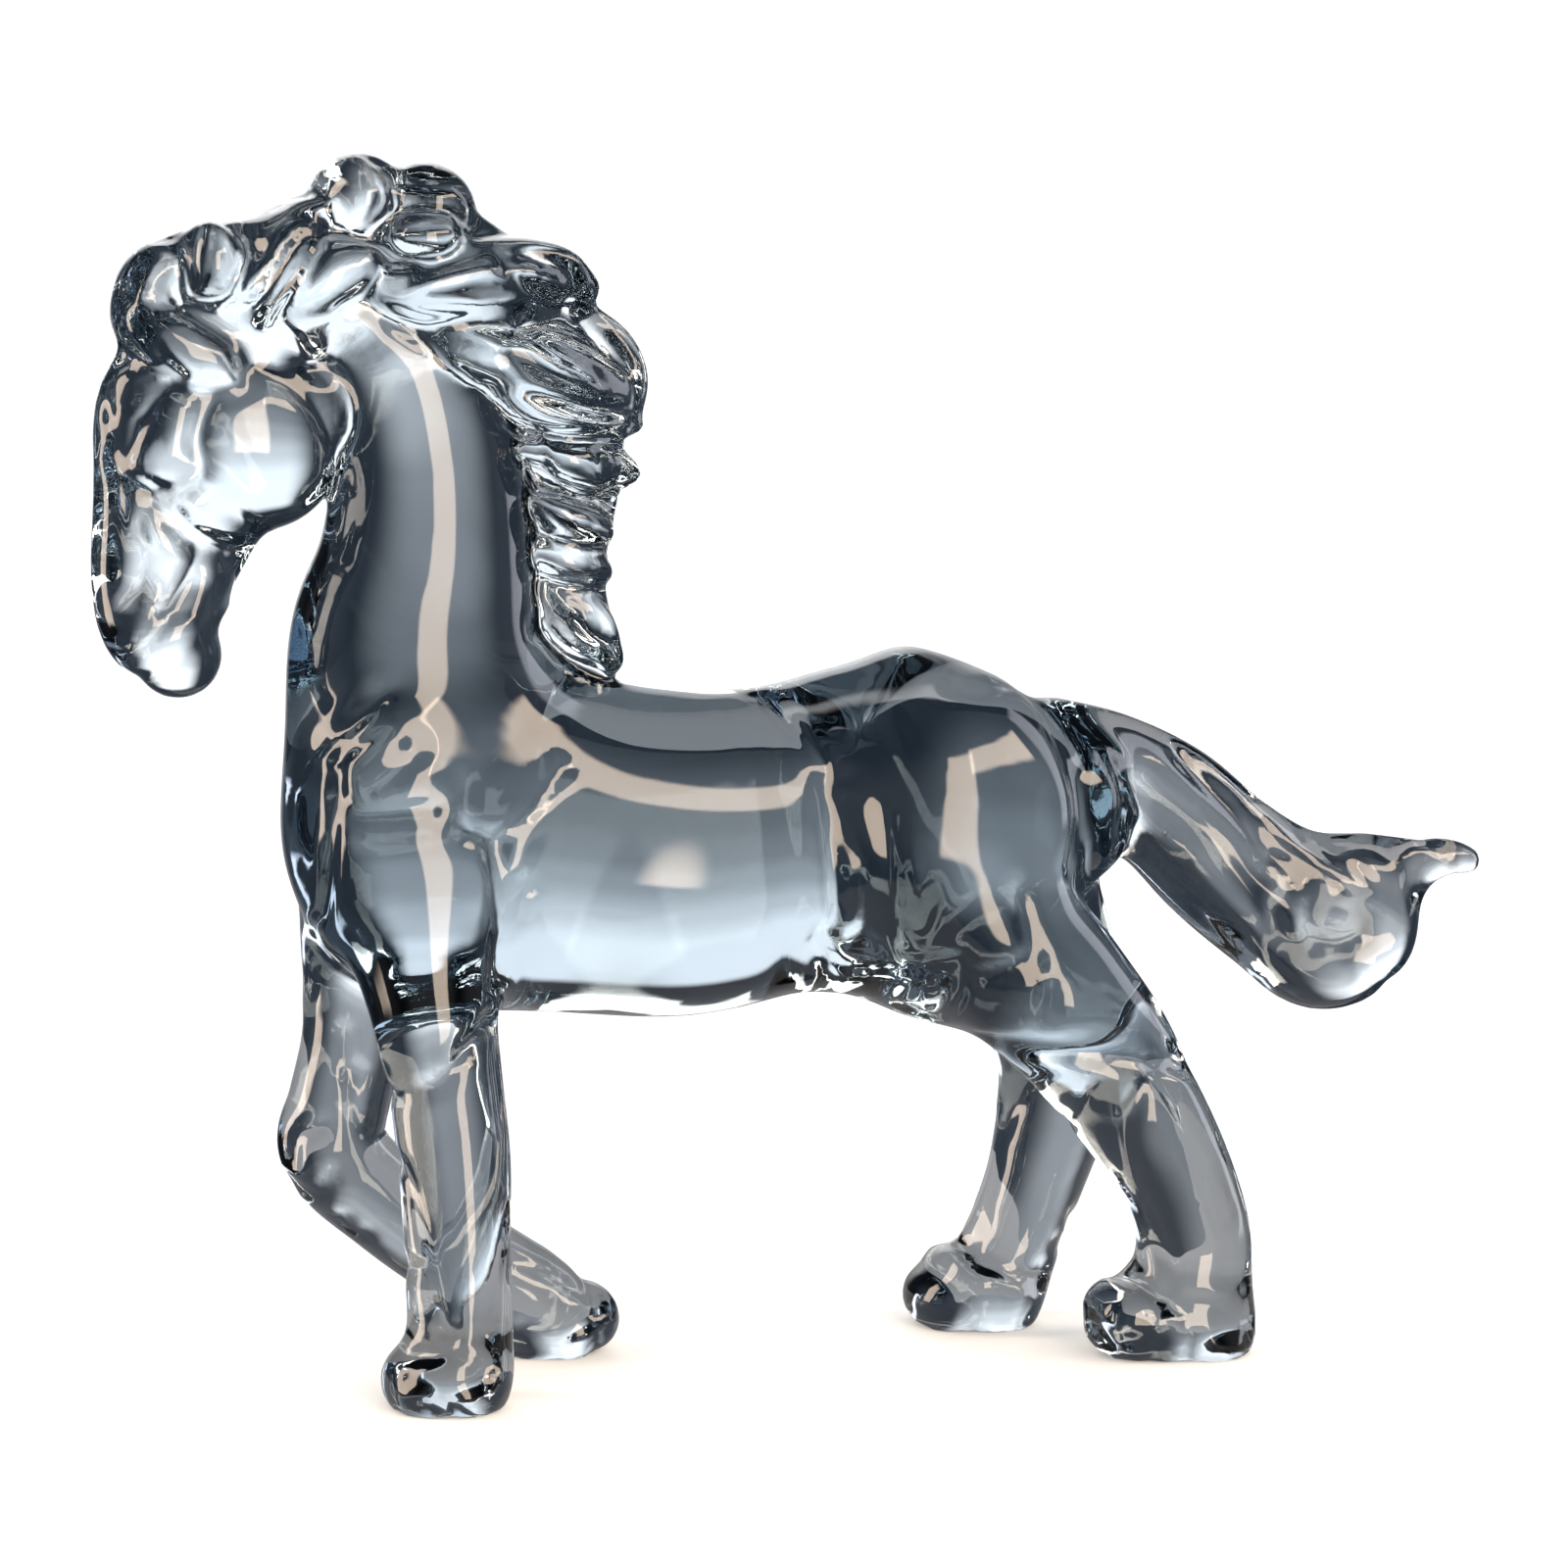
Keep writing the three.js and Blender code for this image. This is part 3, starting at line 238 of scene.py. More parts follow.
# Lines drawn with the tool's edge, as seen from the side: half width and depth in millimetres, then rows of
# along and up in hundredths. They are laid on the glass from each flank. A depth below zero raises a ridge.
FACE = [
    ("cheek back", 2.2, 2, [(-39.6, 70.1), (-37.1, 68.5), (-35.5, 66.5), (-34.6, 63.9), (-34.8, 62.3),
        (-36, 61.3)]),
    ("cheek front", 1.7, 2, [(-42.7, 68.7), (-43.6, 66.7), (-43.9, 65.1), (-43.5, 63.9), (-44.1, 62.7),
        (-45.4, 61.9), (-46.4, 61.7)]),
    ("eye", 2.1, 2.3, [(-45.6, 69.4), (-47, 67.6), (-48, 65.9), (-48.5, 64.6)]),
    ("brow", 1.5, 1.5, [(-49.4, 66.6), (-48.8, 66.7), (-48, 66.4)]),
    ("under the eye", 1.7, 1.9, [(-49.3, 63.9), (-48.7, 63.2), (-47.4, 62.3), (-46.1, 61.8)]),
    ("nose side", 1.5, 0.9, [(-49.3, 68.3), (-49, 65.9), (-48.9, 62), (-48.7, 59.4), (-48.7, 57.5),
        (-48.6, 55.6)]),
    ("muzzle side", 1.4, 1.5, [(-47.1, 62), (-47.7, 59.1), (-47.4, 58.1), (-47.8, 55.2)]),
    ("mouth corner", 2.1, 2.6, [(-46.6, 61.6), (-46.1, 60.6), (-45.4, 60)]),
    ("jaw wedge", 2.2, 2.4, [(-44.2, 58.8), (-42.9, 58.2), (-41.7, 57.5)]),
    ("nostril", 1.8, 2.7, [(-43.5, 57.3), (-44.4, 55.4), (-44.9, 54.6), (-45.2, 54)]),
    ("mouth", 1.4, 1.8, [(-45.9, 53.5), (-47.2, 51.9), (-48.1, 50.7)]),
]
FORELOCK = [
    ("front strand", 1.5, 1.3, [(-48.1, 74.9), (-47.8, 73.1), (-46.8, 71.6), (-45, 69.2)]),
    ("curl hollow", 2.6, 2.8, [(-45.1, 75.5), (-44.2, 74.2), (-42.5, 73.2), (-40.2, 71.4)]),
    ("curl strand", 1.4, 1.2, [(-45.3, 73.7), (-43.5, 72.9), (-42, 71.6), (-41.2, 70.2)]),
    ("curl edge", 1.9, 1.8, [(-48.6, 71), (-47.2, 69.9), (-45.2, 68.6), (-42.9, 68), (-40.9, 68.6),
        (-40.2, 70.1)]),
    ("crown cleft", 2, 1.9, [(-44.7, 78.8), (-44.6, 77.3), (-44.5, 75.8)]),
    ("crown strand", 1.5, 1.2, [(-40.9, 79.6), (-40.5, 78.3), (-39.7, 77.7)]),
    ("ear ridge", 1.5, -1.5, [(-39.4, 73.3), (-37.9, 75.3), (-36.2, 77.9)]),
    ("ear front", 1.4, 1.3, [(-39.7, 73.6), (-38.3, 75.7), (-37, 77.8), (-36.4, 78.7)]),
    ("ear back", 1.4, 1.2, [(-38.7, 73.3), (-37.2, 75.4), (-35.7, 77.5)]),
]
TOPKNOT = [
    ("back cleft", 2, 2.3, [(-30.7, 83.7), (-30.4, 82), (-30.4, 80.7), (-31.1, 79.5), (-31.8, 78.5)]),
    ("under edge", 1.8, 2, [(-36, 80), (-33.7, 78.8), (-31.2, 78), (-29.9, 77.1), (-28.6, 76.8)]),
    ("back strand", 1.4, 1.4, [(-30.2, 80.1), (-28.5, 80.3), (-26.2, 80.2)]),
    ("back edge", 1.4, 1.4, [(-25.9, 79.6), (-26, 78.1), (-26.9, 77)]),
]
MANE = [
    ("first leaf top", 1.7, 2.1, [(-34.1, 73.8), (-32.7, 74.6), (-30.7, 75.4), (-29.1, 76.2), (-26.4, 77),
        (-23.7, 77.6)]),
    ("first leaf under", 1.8, 2.2, [(-32.3, 74.1), (-30.4, 73.1), (-28.3, 72.5), (-25.4, 72.7),
        (-21.7, 72.6), (-18.6, 73), (-17.3, 73.8)]),
    ("roll", 1.5, 1.8, [(-23.6, 76.6), (-22, 75.2), (-19.7, 73.7), (-18.3, 73.3)]),
    ("roll back", 1.6, 2, [(-23.4, 76.9), (-21, 77), (-19, 76.6), (-18, 75.5), (-17.8, 74.2)]),
    ("second leaf top", 1.6, 1.9, [(-30.4, 72.6), (-28.4, 71.6), (-25.7, 71.5), (-23.4, 71.9),
        (-21.4, 72.3)]),
    ("second leaf back", 1.6, 2, [(-21.7, 72.1), (-19.7, 70.8), (-17.3, 69.6), (-15.7, 68.4),
        (-13.6, 68)]),
    ("rim strand", 1.4, 1.2, [(-16.5, 73.5), (-15.5, 71.7), (-13.9, 69.5)]),
    ("third leaf top", 1.8, 2.2, [(-26.4, 71.2), (-23.7, 70.4), (-21.7, 68.8), (-19.3, 67.7), (-17, 66.8),
        (-13.6, 66.7)]),
    ("third leaf under", 1.9, 2.4, [(-24.1, 68.2), (-22.4, 66.2), (-20.7, 65.4), (-17.7, 65),
        (-14.2, 64.9)]),
    ("fourth leaf under", 1.9, 2.4, [(-21.1, 64.2), (-20.2, 62.4), (-18.3, 61.1), (-15.6, 60.6),
        (-13.9, 61.1)]),
    ("chipped edge", 1.4, 1.2, [(-16.6, 63.5), (-16, 62.5), (-15.1, 63.1), (-14.8, 61.9), (-15.8, 61.5),
        (-14.5, 61.1)]),
    ("last leaf front", 1.6, 1.9, [(-20.4, 54.7), (-19.4, 53), (-17.7, 50.9), (-16, 50)]),
    ("last leaf curl", 1.4, 1.5, [(-18.2, 53.3), (-18.5, 52), (-17.7, 51.1)]),
    ("last leaf under", 1.7, 2, [(-21.1, 52), (-19.8, 51.3), (-17.7, 49.8), (-15.7, 49.2)]),
]
BODY = [
    ("shoulder crease", 2, 1.5, [(-35.9, 44.9), (-34.3, 46.6), (-32.5, 48.2)]),
    ("second shoulder crease", 1.8, 1.2, [(-35.4, 44), (-33.8, 45.3), (-32.1, 46.7)]),
    ("arm top", 2.2, 1.4, [(-35.4, 41.9), (-34.1, 40.6), (-29.8, 40.9)]),
    ("shoulder hollow", 3, 1.4, [(-33.1, 42.5), (-31.8, 43.7), (-30.4, 45)]),
    ("arm front", 1.8, 1.1, [(-35, 43.9), (-35.6, 38.7), (-35.3, 32.7), (-34.4, 27.1)]),
    ("elbow pinch", 2.2, 2, [(-27.1, 39.3), (-25.8, 38.9), (-25.1, 38.1)]),
    ("elbow edge", 2.2, 1.6, [(-25.1, 37.6), (-24.7, 34.3), (-24.8, 29)]),
    ("girth crease", 2, 1.4, [(-24.8, 38.5), (-22.4, 40.8), (-20, 43.2)]),
    ("girth leaf", 2, 1.1, [(-24.1, 31.9), (-23.5, 33.9), (-22.8, 35.7)]),
    ("flank fold", 2.4, 1.6, [(-1.7, 41.3), (-1.5, 37.9), (-1, 35.2), (-0.7, 32.5)]),
    ("second flank fold", 2, 1.3, [(-0.6, 39.6), (-0.1, 37.9), (1.1, 35.1), (1.6, 31.4), (0.9, 30.5)]),
    ("stifle pinch", 2.2, 1.9, [(-1.7, 30.9), (-0.1, 29.3), (1.7, 28)]),
    ("loin crease", 2.6, 1, [(-4.3, 46.7), (-2.6, 44.6), (-1.2, 42.6), (-0.5, 41.6)]),
    ("haunch back", 2.6, 1.4, [(14.5, 47.4), (16.3, 41.3), (16.7, 37.9), (16, 35.2)]),
    ("thigh front", 2.2, 1.4, [(2.3, 39.1), (2.6, 35.8), (2.9, 32.4), (3.3, 31)]),
    ("thigh star", 2.2, 1.8, [(1.9, 30.8), (2.9, 29.8), (3.8, 28.7)]),
    ("thigh lens", 2, 1.4, [(1.6, 28.4), (4.4, 28.2), (7.6, 28.8)]),
    ("thigh crease", 2, 1.4, [(7.6, 27.5), (10, 28), (12.1, 28.9)]),
    ("stifle edge", 2, 1.3, [(7.9, 26.8), (7.6, 24.1), (5.8, 24.8)]),
    ("gaskin wedge", 2, 1.3, [(13.6, 26.8), (13.2, 24.5), (12.5, 22.8)]),
    ("thigh knot", 2.2, 1.2, [(11.5, 33.7), (12.1, 31.3), (12.8, 28.6)]),
    ("croup seam", 2.2, 1, [(8.2, 47.3), (10.1, 47), (12, 47.3)]),
]
NEAR_LEGS = [
    ("foreleg front", 1.8, 1.3, [(-32.5, 23.9), (-31.6, 19.2), (-30.4, 13.8), (-29.3, 8.4), (-28.5, 5.7)]),
    ("foreleg ridge", 1.6, 1.3, [(-24.4, 13.5), (-25.3, 10.2), (-25.9, 7.5), (-26.8, 4.9)]),
    ("knee crease", 1.7, 1.5, [(-32, 21.1), (-30, 22.1), (-28.6, 23), (-26.9, 24.8)]),
    ("knee notch", 1.8, 1.8, [(-27.5, 24.6), (-26.4, 25.7), (-25.4, 26.5)]),
    ("ankle pinch", 2, 2.2, [(-30.7, 4.2), (-29.1, 4.9), (-28.7, 5.6)]),
    ("fore fetlock", 1.9, 1.7, [(-31.5, 2.8), (-29.1, 2.2), (-27.1, 2.6), (-26, 3.8)]),
    ("toe hollow", 2, 1.8, [(-30.9, 0.7), (-29.8, 1), (-28.7, 0.3)]),
    ("hock groove", 2.2, 1.6, [(20.4, 19.5), (19.4, 16.2), (20.4, 13), (22.2, 9.8), (23.3, 6.7),
        (23.2, 5)]),
    ("gaskin back", 1.8, 1.5, [(21.4, 21.3), (23.2, 18.9), (24.2, 16.8), (25.9, 13.4), (27.4, 9.9)]),
    ("gaskin crease", 2.2, 2.2, [(9.7, 22.5), (13.2, 22.8), (16.8, 22.2), (19.6, 22), (23.6, 20.9)]),
    ("hind pinch front", 1.8, 1.7, [(21, 7.8), (21.7, 6.6), (22.6, 4.9)]),
    ("hind pinch under", 1.8, 1.6, [(19.7, 6), (21.5, 5.5), (22.6, 4.8)]),
    ("hind fetlock", 2, 2.2, [(22.9, 4.6), (25.9, 3.9), (28.4, 3), (29.6, 2.8)]),
    ("hoof cleft", 2, 2.2, [(24.1, 3.7), (24.5, 2.3), (24.7, 0.4)]),
    ("chisel mark", 1.6, 1.6, [(20.3, 1.6), (22.3, 2.2), (23.9, 2.5)]),
    ("second chisel mark", 1.6, 1.5, [(25.1, 3.1), (27, 2.6), (28.9, 2.1)]),
    ("third chisel mark", 1.6, 1.6, [(25.1, 2), (27.3, 1.9), (29.3, 1.2)]),
    ("fourth chisel mark", 1.5, 1.4, [(21.3, 3.2), (22.6, 3.9), (23.8, 3.5)]),
    ("toe mark", 1.8, 1.6, [(18.7, 4), (18.3, 2.8), (19.1, 1.6)]),
]
FAR_LEGS = [
    ("forearm front", 1.7, 1, [(-34.7, 29.3), (-34.5, 27), (-34.6, 24.3), (-35.1, 21.2)]),
    ("knee pinch", 1.9, 1.7, [(-34.3, 17.5), (-35.5, 16.7), (-35.7, 14.9)]),
    ("under the knee", 1.8, 1.2, [(-36, 13.8), (-34.5, 12.6), (-32.9, 14.3)]),
    ("cannon edge", 1.7, 1.3, [(-32.2, 10.9), (-31.2, 9.7), (-30.1, 9.5)]),
    ("fetlock", 1.8, 1.2, [(-20.3, 7.3), (-17.3, 6.1), (-15.2, 4.7)]),
    ("fore hoof edge", 1.9, 1.5, [(-19.6, 2.6), (-17.2, 2.3), (-15.2, 3.1), (-14.3, 4.5)]),
    ("hind strand", 1.8, 1, [(16.9, 19.3), (16.5, 15.5), (15.5, 11.4), (14.8, 7.1)]),
    ("hind pinch", 1.9, 1.7, [(11, 7.2), (12.2, 6.5), (13.5, 6)]),
    ("hind pinch top", 1.8, 1.4, [(13.3, 8.7), (13.5, 7.3), (13.5, 6)]),
    ("hind fetlock", 2.1, 1.8, [(13.7, 5.8), (15.5, 4.7), (17.1, 4), (18.4, 4.2)]),
    ("hoof hollow", 3, 1.7, [(9.5, 4.6), (10.6, 5.2), (11.9, 5.7)]),
    ("hoof ridge", 1.6, -1.2, [(12.1, 6.1), (12.6, 4.6), (13.5, 3.9), (14.5, 3.9)]),
    ("heel", 1.7, 1.2, [(17.8, 3.6), (17.4, 1.8), (16.9, 0.7)]),
]
TAIL = [
    ("top strand", 2.4, 2.2, [(26.9, 41.2), (29.3, 38.7), (30.8, 37.3), (32.1, 35.7), (32.8, 34),
        (34.3, 32.6)]),
    ("under strand", 3.2, 3, [(21.8, 39.7), (25.4, 37.8), (28.3, 35.6), (29.9, 33.5), (32.4, 30.6),
        (34.3, 28), (36.5, 26.3), (39.6, 25.3)]),
    ("soft strand", 2.2, 0.9, [(21.8, 37.3), (25.4, 32.7), (29.1, 29.1), (33.5, 25.1)]),
    ("swirl", 1.8, 1.5, [(36, 29.1), (36.5, 30.6), (39.6, 30), (41.9, 28.9), (41.5, 27.3), (39.3, 26.9),
        (37, 27.9)]),
    ("swirl bowl", 3.6, 2.4, [(37.2, 28.4), (38.6, 28), (40.2, 28)]),
    ("leaf", 1.9, 1.4, [(33.2, 33.8), (35.2, 33), (37.5, 31.7)]),
    ("tip fold", 2, 1.2, [(37.4, 34.3), (40, 32.4), (43, 30.5), (44.1, 31.9), (45.9, 33), (47.1, 33.2)]),
    ("tip edge", 1.4, 0.6, [(36.3, 34.8), (41.4, 34.6), (45.1, 34.6), (46.8, 33.6)]),
    ("root seam", 1.8, 1.5, [(20.5, 41.5), (21, 39), (20.8, 37.3), (21.2, 35.5)]),
    ("root bead", 1.8, -1.2, [(20.8, 36.6), (21, 36.3)]),
]

# The camera stands where the photograph's stood
VIEW_TURN = -17.0
VIEW_RISE = 7.5
VIEW_DISTANCE = 1.386
VIEW_AIM = Vector((-0.0056, -0.0002, 0.1125))
LENS = 165.7
SENSOR = 36.0
CLIP_END = 100

# The round table: its radius in metres, and the sides that its rim is drawn with
TABLE_RADIUS = 0.16
TABLE_SIDES = 128

# The lit backdrop behind the table, in metres: how far off it stands, how far to the right, its width and its
# lowest and highest edge. Its light by share of that height, and the share of its width that is fully lit.
BACKDROP_DISTANCE = 0.85
BACKDROP_ASIDE = -0.18
BACKDROP_WIDTH = 0.92
BACKDROP_LOW = -0.5
BACKDROP_HIGH = 0.95
BACKDROP_LIGHT = 1.8
BACKDROP_TONES = [
    (0.0, "#303030"), (0.26, "#6c6c6c"), (0.345, "#858585"), (0.4, "#a4a4a4"),
    (0.48, "#d4d4d4"), (0.58, "#ffffff"), (0.8, "#ffffff"), (0.9, "#000000"),
]
BACKDROP_FULL = 0.3

# The studio that the glass mirrors and bends: a dark room, and the panels of light in it. Each is turn, rise,
# width, height and softness of its edge in degrees, colour and strength. The last three are weak, wide fills
# in front, right and left, so that the glass isn't black from other sides. PLAIN_LIGHT is the white that the
# camera sees and that lights the table.
PLAIN_LIGHT = 1.15
ROOM_COLOUR = "#5a6472"
ROOM_LIGHT = 0.36
SOFTBOXES = [
    (4, 10, 24, 56, 1.5, "#ffe9d2", 10),
    (42, 33, 58, 14, 1.5, "#ffe9d2", 10),
    (-108, 14, 22, 66, 2, "#ffead6", 9),
    (95, 20, 22, 50, 3, "#f2f4ff", 3),
    (180, 80, 120, 10, 4, "#ffffff", 3),
    (-17, 8, 80, 56, 14, "#dfe6ee", 0.45),
    (73, 8, 50, 50, 14, "#dfe6ee", 0.33),
    (-107, 8, 50, 50, 14, "#dfe6ee", 0.33),
]


# Shape

def unit(v):
    return v / np.maximum(np.linalg.norm(v, axis=-1, keepdims=True), 1e-12)


def smooth_run(points):
    """Points along a smooth run through the given rows, SPAN_STEPS to each span."""
    p = np.asarray(points, float)
    p = np.vstack([2 * p[0] - p[1], p, 2 * p[-1] - p[-2]])
    t = (np.arange(SPAN_STEPS) / SPAN_STEPS)[:, None]
    spans = []
    for a, b, c, d in zip(p, p[1:], p[2:], p[3:]):
        bend = (c - a) * t + (2 * a - 5 * b + 4 * c - d) * t ** 2 + (3 * b - a - 3 * c + d) * t ** 3
        spans.append(b + bend / 2)
    return np.vstack(spans + [p[-2:-1]])


class Field:
    """Samples of the distance to the glass over a box, in millimetres: below zero inside."""

    def __init__(self, low, high, step):
        self.low = np.array(low, float) * HUNDREDTH
        self.step = step
        size = (np.array(high, float) * HUNDREDTH - self.low) / step
        self.value = np.full(np.ceil(size).astype(int) + 1, FAR, np.float32)

    def window(self, low, high):
        """The samples in a box, as slices, or None where there are none."""
        start = np.clip(np.floor((low - self.low) / self.step).astype(int), 0, self.value.shape)
        stop = np.clip(np.ceil((high - self.low) / self.step).astype(int) + 1, 0, self.value.shape)
        return tuple(slice(a, b) for a, b in zip(start, stop)) if (start < stop).all() else None

    def points(self, window):
        axes = [low + self.step * np.arange(s.start, s.stop) for low, s in zip(self.low, window)]
        return np.stack(np.meshgrid(*axes, indexing="ij"), -1)

    def melt(self, window, distance, flow):
        """Melts a shape into the glass: surfaces within flow of each other run together."""
        old = self.value[window]
        near = np.maximum(flow - np.abs(old - distance), 0) / flow
        self.value[window] = np.minimum(old, distance) - near ** 3 * flow / 6


def oval_distance(x, y, z, a, b, c):
    off = np.sqrt(x * x + y * y + z * z)
    share = np.maximum(np.sqrt((x / a) ** 2 + (y / b) ** 2 + (z / c) ** 2), 1e-3)
    return off * (1 - 1 / share)


def add_limb(field, limb, side=1):
    """Adds a limb. Between two sections its shape is swept from one's plane to the other's."""
    _, depth, width, flow, rows = limb
    run = smooth_run(rows)
    middle = run[:, :3] * (1, side, 1) * HUNDREDTH
    deep = run[:, 3] * depth / 200
    wide = run[:, 4] * width / 200
    along = unit(np.gradient(middle, axis=0))
    across = unit(np.array((0.0, 1.0, 0.0)) - along * along[:, 1:2])
    through = np.cross(along, across)
    reach = max(deep.max(), wide.max()) + flow + LIMB_SPARE
    whole = field.window(middle.min(0) - reach, middle.max(0) + reach)
    own = np.full(field.value[whole].shape, FAR, np.float32)
    last = len(run) - 2
    for i in range(last + 1):
        near = max(deep[i], deep[i + 1], wide[i], wide[i + 1]) + flow + LIMB_SPARE
        ends = middle[i:i + 2]
        window = field.window(ends.min(0) - near, ends.max(0) + near)
        point = field.points(window)
        before = (point - ends[0]) @ along[i]
        after = (point - ends[1]) @ along[i + 1]
        held = ((before >= 0) | (i == 0)) & ((after <= 0) | (i == last))
        point, before, after = point[held], before[held], after[held]
        t = np.clip(before / np.maximum(before - after, 1e-9), 0, 1)
        t = np.where(before < 0, 0, np.where(after > 0, 1, t))
        offset = point - ends[0] * (1 - t)[:, None] - ends[1] * t[:, None]
        x, y, z = (
            (offset * unit(axis[i] * (1 - t)[:, None] + axis[i + 1] * t[:, None])).sum(-1)
            for axis in (through, across, along)
        )
        a = deep[i] * (1 - t) + deep[i + 1] * t
        b = wide[i] * (1 - t) + wide[i + 1] * t
        place = tuple(slice(s.start - w.start, s.stop - w.start) for s, w in zip(window, whole))
        part = own[place]
        part[held] = np.minimum(part[held], oval_distance(x, y, z, a, b, np.minimum(a, b)))
    field.melt(whole, own, flow)


def add_egg(field, egg):
    _, at, (along, across, up), turn, flow = egg
    middle = np.array(at, float) * HUNDREDTH
    reach = max(along, across, up) + flow + LIMB_SPARE
    window = field.window(middle - reach, middle + reach)
    x, y, z = np.moveaxis(field.points(window) - middle, -1, 0)
    c, s = math.cos(math.radians(turn)), math.sin(math.radians(turn))
    field.melt(window, oval_distance(x * c + z * s, y, z * c - x * s, along, across, up), flow)


def press(field, line, width, depth):
    """Presses a line into the glass: deepest on the line, it fades out over its half width."""
    reach = LINE_REACH * width.max()
    window = field.window(line.min(0) - reach, line.max(0) + reach)
    point = field.points(window)
    best = np.full(point.shape[:3], FAR)
    sink = np.zeros(point.shape[:3])
    for i in range(len(line) - 1):
        span = line[i + 1] - line[i]
        t = np.clip((point - line[i]) @ span / max(span @ span, 1e-9), 0, 1)
        away = np.linalg.norm(point - line[i] - t[..., None] * span, axis=-1)
        away = away / (width[i] * (1 - t) + width[i + 1] * t)
        closer = away < best
        best = np.where(closer, away, best)
        sink = np.where(closer, depth[i] * (1 - t) + depth[i + 1] * t, sink)
    field.value[window] += (sink * np.exp(-best * best)).astype(np.float32)


def press_mark(field, mark):
    run = smooth_run(mark[1])
    press(field, run[:, :3] * HUNDREDTH, run[:, 3], run[:, 4])


def lay_on(field, rows, side):
    """Where a line drawn in side view meets the glass, coming in from one flank: -1 near, 1 far."""
    run = smooth_run(rows) * HUNDREDTH
    spot = (run - field.low[[0, 2]]) / field.step
    i, k = np.floor(spot).astype(int).T
    a, b = (spot % 1).T[:, :, None]
    v = field.value
    front = (1 - b) * v[i, :, k] + b * v[i, :, k + 1]
    back = (1 - b) * v[i + 1, :, k] + b * v[i + 1, :, k + 1]
    ray = ((1 - a) * front + a * back)[:, ::-side]
    first = (ray < 0).argmax(1)
    row = np.arange(len(run))
    out, within = ray[row, first - 1], ray[row, first]
    across = first - 1 + out / (out - within)
    if side > 0:
        across = ray.shape[1] - 1 - across
    line = np.stack([run[:, 0], field.low[1] + field.step * across, run[:, 1]], 1)
    return line[first > 0]


def draw_line(field, stroke, side):
    """Draws a line on one flank. The far one, which the photograph doesn't show, is worked more softly."""
    _, width, depth, rows = stroke
    line = lay_on(field, rows, side)
    if side > 0:
        width, depth = width * FAR_LINE_WIDTH, depth * FAR_LINE_DEPTH
    if len(line) > 1:
        press(field, line, np.full(len(line), width), np.full(len(line), depth))


def lock_limb(lock):
    """A lock of the mane as a limb: its rows run from the root to the tip."""
    root, tip, rise, out, thick, wide = lock
    rows = []
    for i, (depth, width, stand) in enumerate(zip(LOCK_DEPTHS, LOCK_WIDTHS, LOCK_STANDS)):
        t = i / (len(LOCK_DEPTHS) - 1)
        along = root[0] * (1 - t) + tip[0] * t
        up = root[1] * (1 - t) + tip[1] * t + 4 * rise * t * (1 - t)
        rows.append((along, -out * stand / 100, up, depth, width))
    return ("lock", thick, wide, LOCK_FLOW, rows)


def fire_polish(field):
    """Softens every edge a little, as the flame does."""
    for axis in range(3):
        v = np.moveaxis(field.value, axis, 0)
        v[1:-1] = (v[:-2] + 2 * v[1:-1] + v[2:]) / 4


def flatten_soles(field):
    """Grinds the feet flat at the ground, with a softened edge."""
    z = field.low[2] + field.step * np.arange(field.value.shape[2])
    ground = np.broadcast_to(-z.astype(np.float32), field.value.shape)
    near = np.maximum(SOLE_ROUND - np.abs(field.value - ground), 0) / SOLE_ROUND
    field.value = np.maximum(field.value, ground) + near ** 3 * SOLE_ROUND / 6


def net_surface(field):
    """One point in each cell that the surface crosses, joined round each crossed edge."""
    value = field.value
    inside = value < 0
    cells = np.array(value.shape) - 1
    number = np.arange(cells.prod()).reshape(cells)
    total = np.zeros((cells.prod(), 3))
    hits = np.zeros(cells.prod())
    quads = []
    for axis in range(3):
        low = tuple(slice(0, -1) if a == axis else slice(None) for a in range(3))
        high = tuple(slice(1, None) if a == axis else slice(None) for a in range(3))
        crossed = inside[low] != inside[high]
        at = np.argwhere(crossed)
        first, second = value[low][crossed], value[high][crossed]
        spot = at.astype(float)
        spot[:, axis] += first / (first - second)
        u, v = (axis + 1) % 3, (axis + 2) % 3
        corners = []
        for du, dv in ((0, 0), (-1, 0), (-1, -1), (0, -1)):
            cell = at.copy()
            cell[:, u] += du
            cell[:, v] += dv
            flat = number[tuple(cell.T)]
            corners.append(flat)
            hits += np.bincount(flat, minlength=len(hits))
            for k in range(3):
                total[:, k] += np.bincount(flat, spot[:, k], minlength=len(hits))
        quad = np.stack(corners, 1)
        quad[first >= 0] = quad[first >= 0][:, ::-1]
        quads.append(quad)
    quads = np.vstack(quads)
    used = np.unique(quads)
    order = np.zeros(len(hits), int)
    order[used] = np.arange(len(used))
    return field.low + total[used] / hits[used, None] * field.step, order[quads]


def even_out(points, quads, rounds):
    """Moves each point half way to the middle of the points it is joined to."""
    a = quads.ravel()
    b = np.roll(quads, -1, axis=1).ravel()
    count = np.bincount(a, minlength=len(points))[:, None]
    for _ in range(rounds):
        middle = np.stack([np.bincount(a, points[b, k], minlength=len(points)) for k in range(3)], 1) / count
        points = (points + middle) / 2
    return points


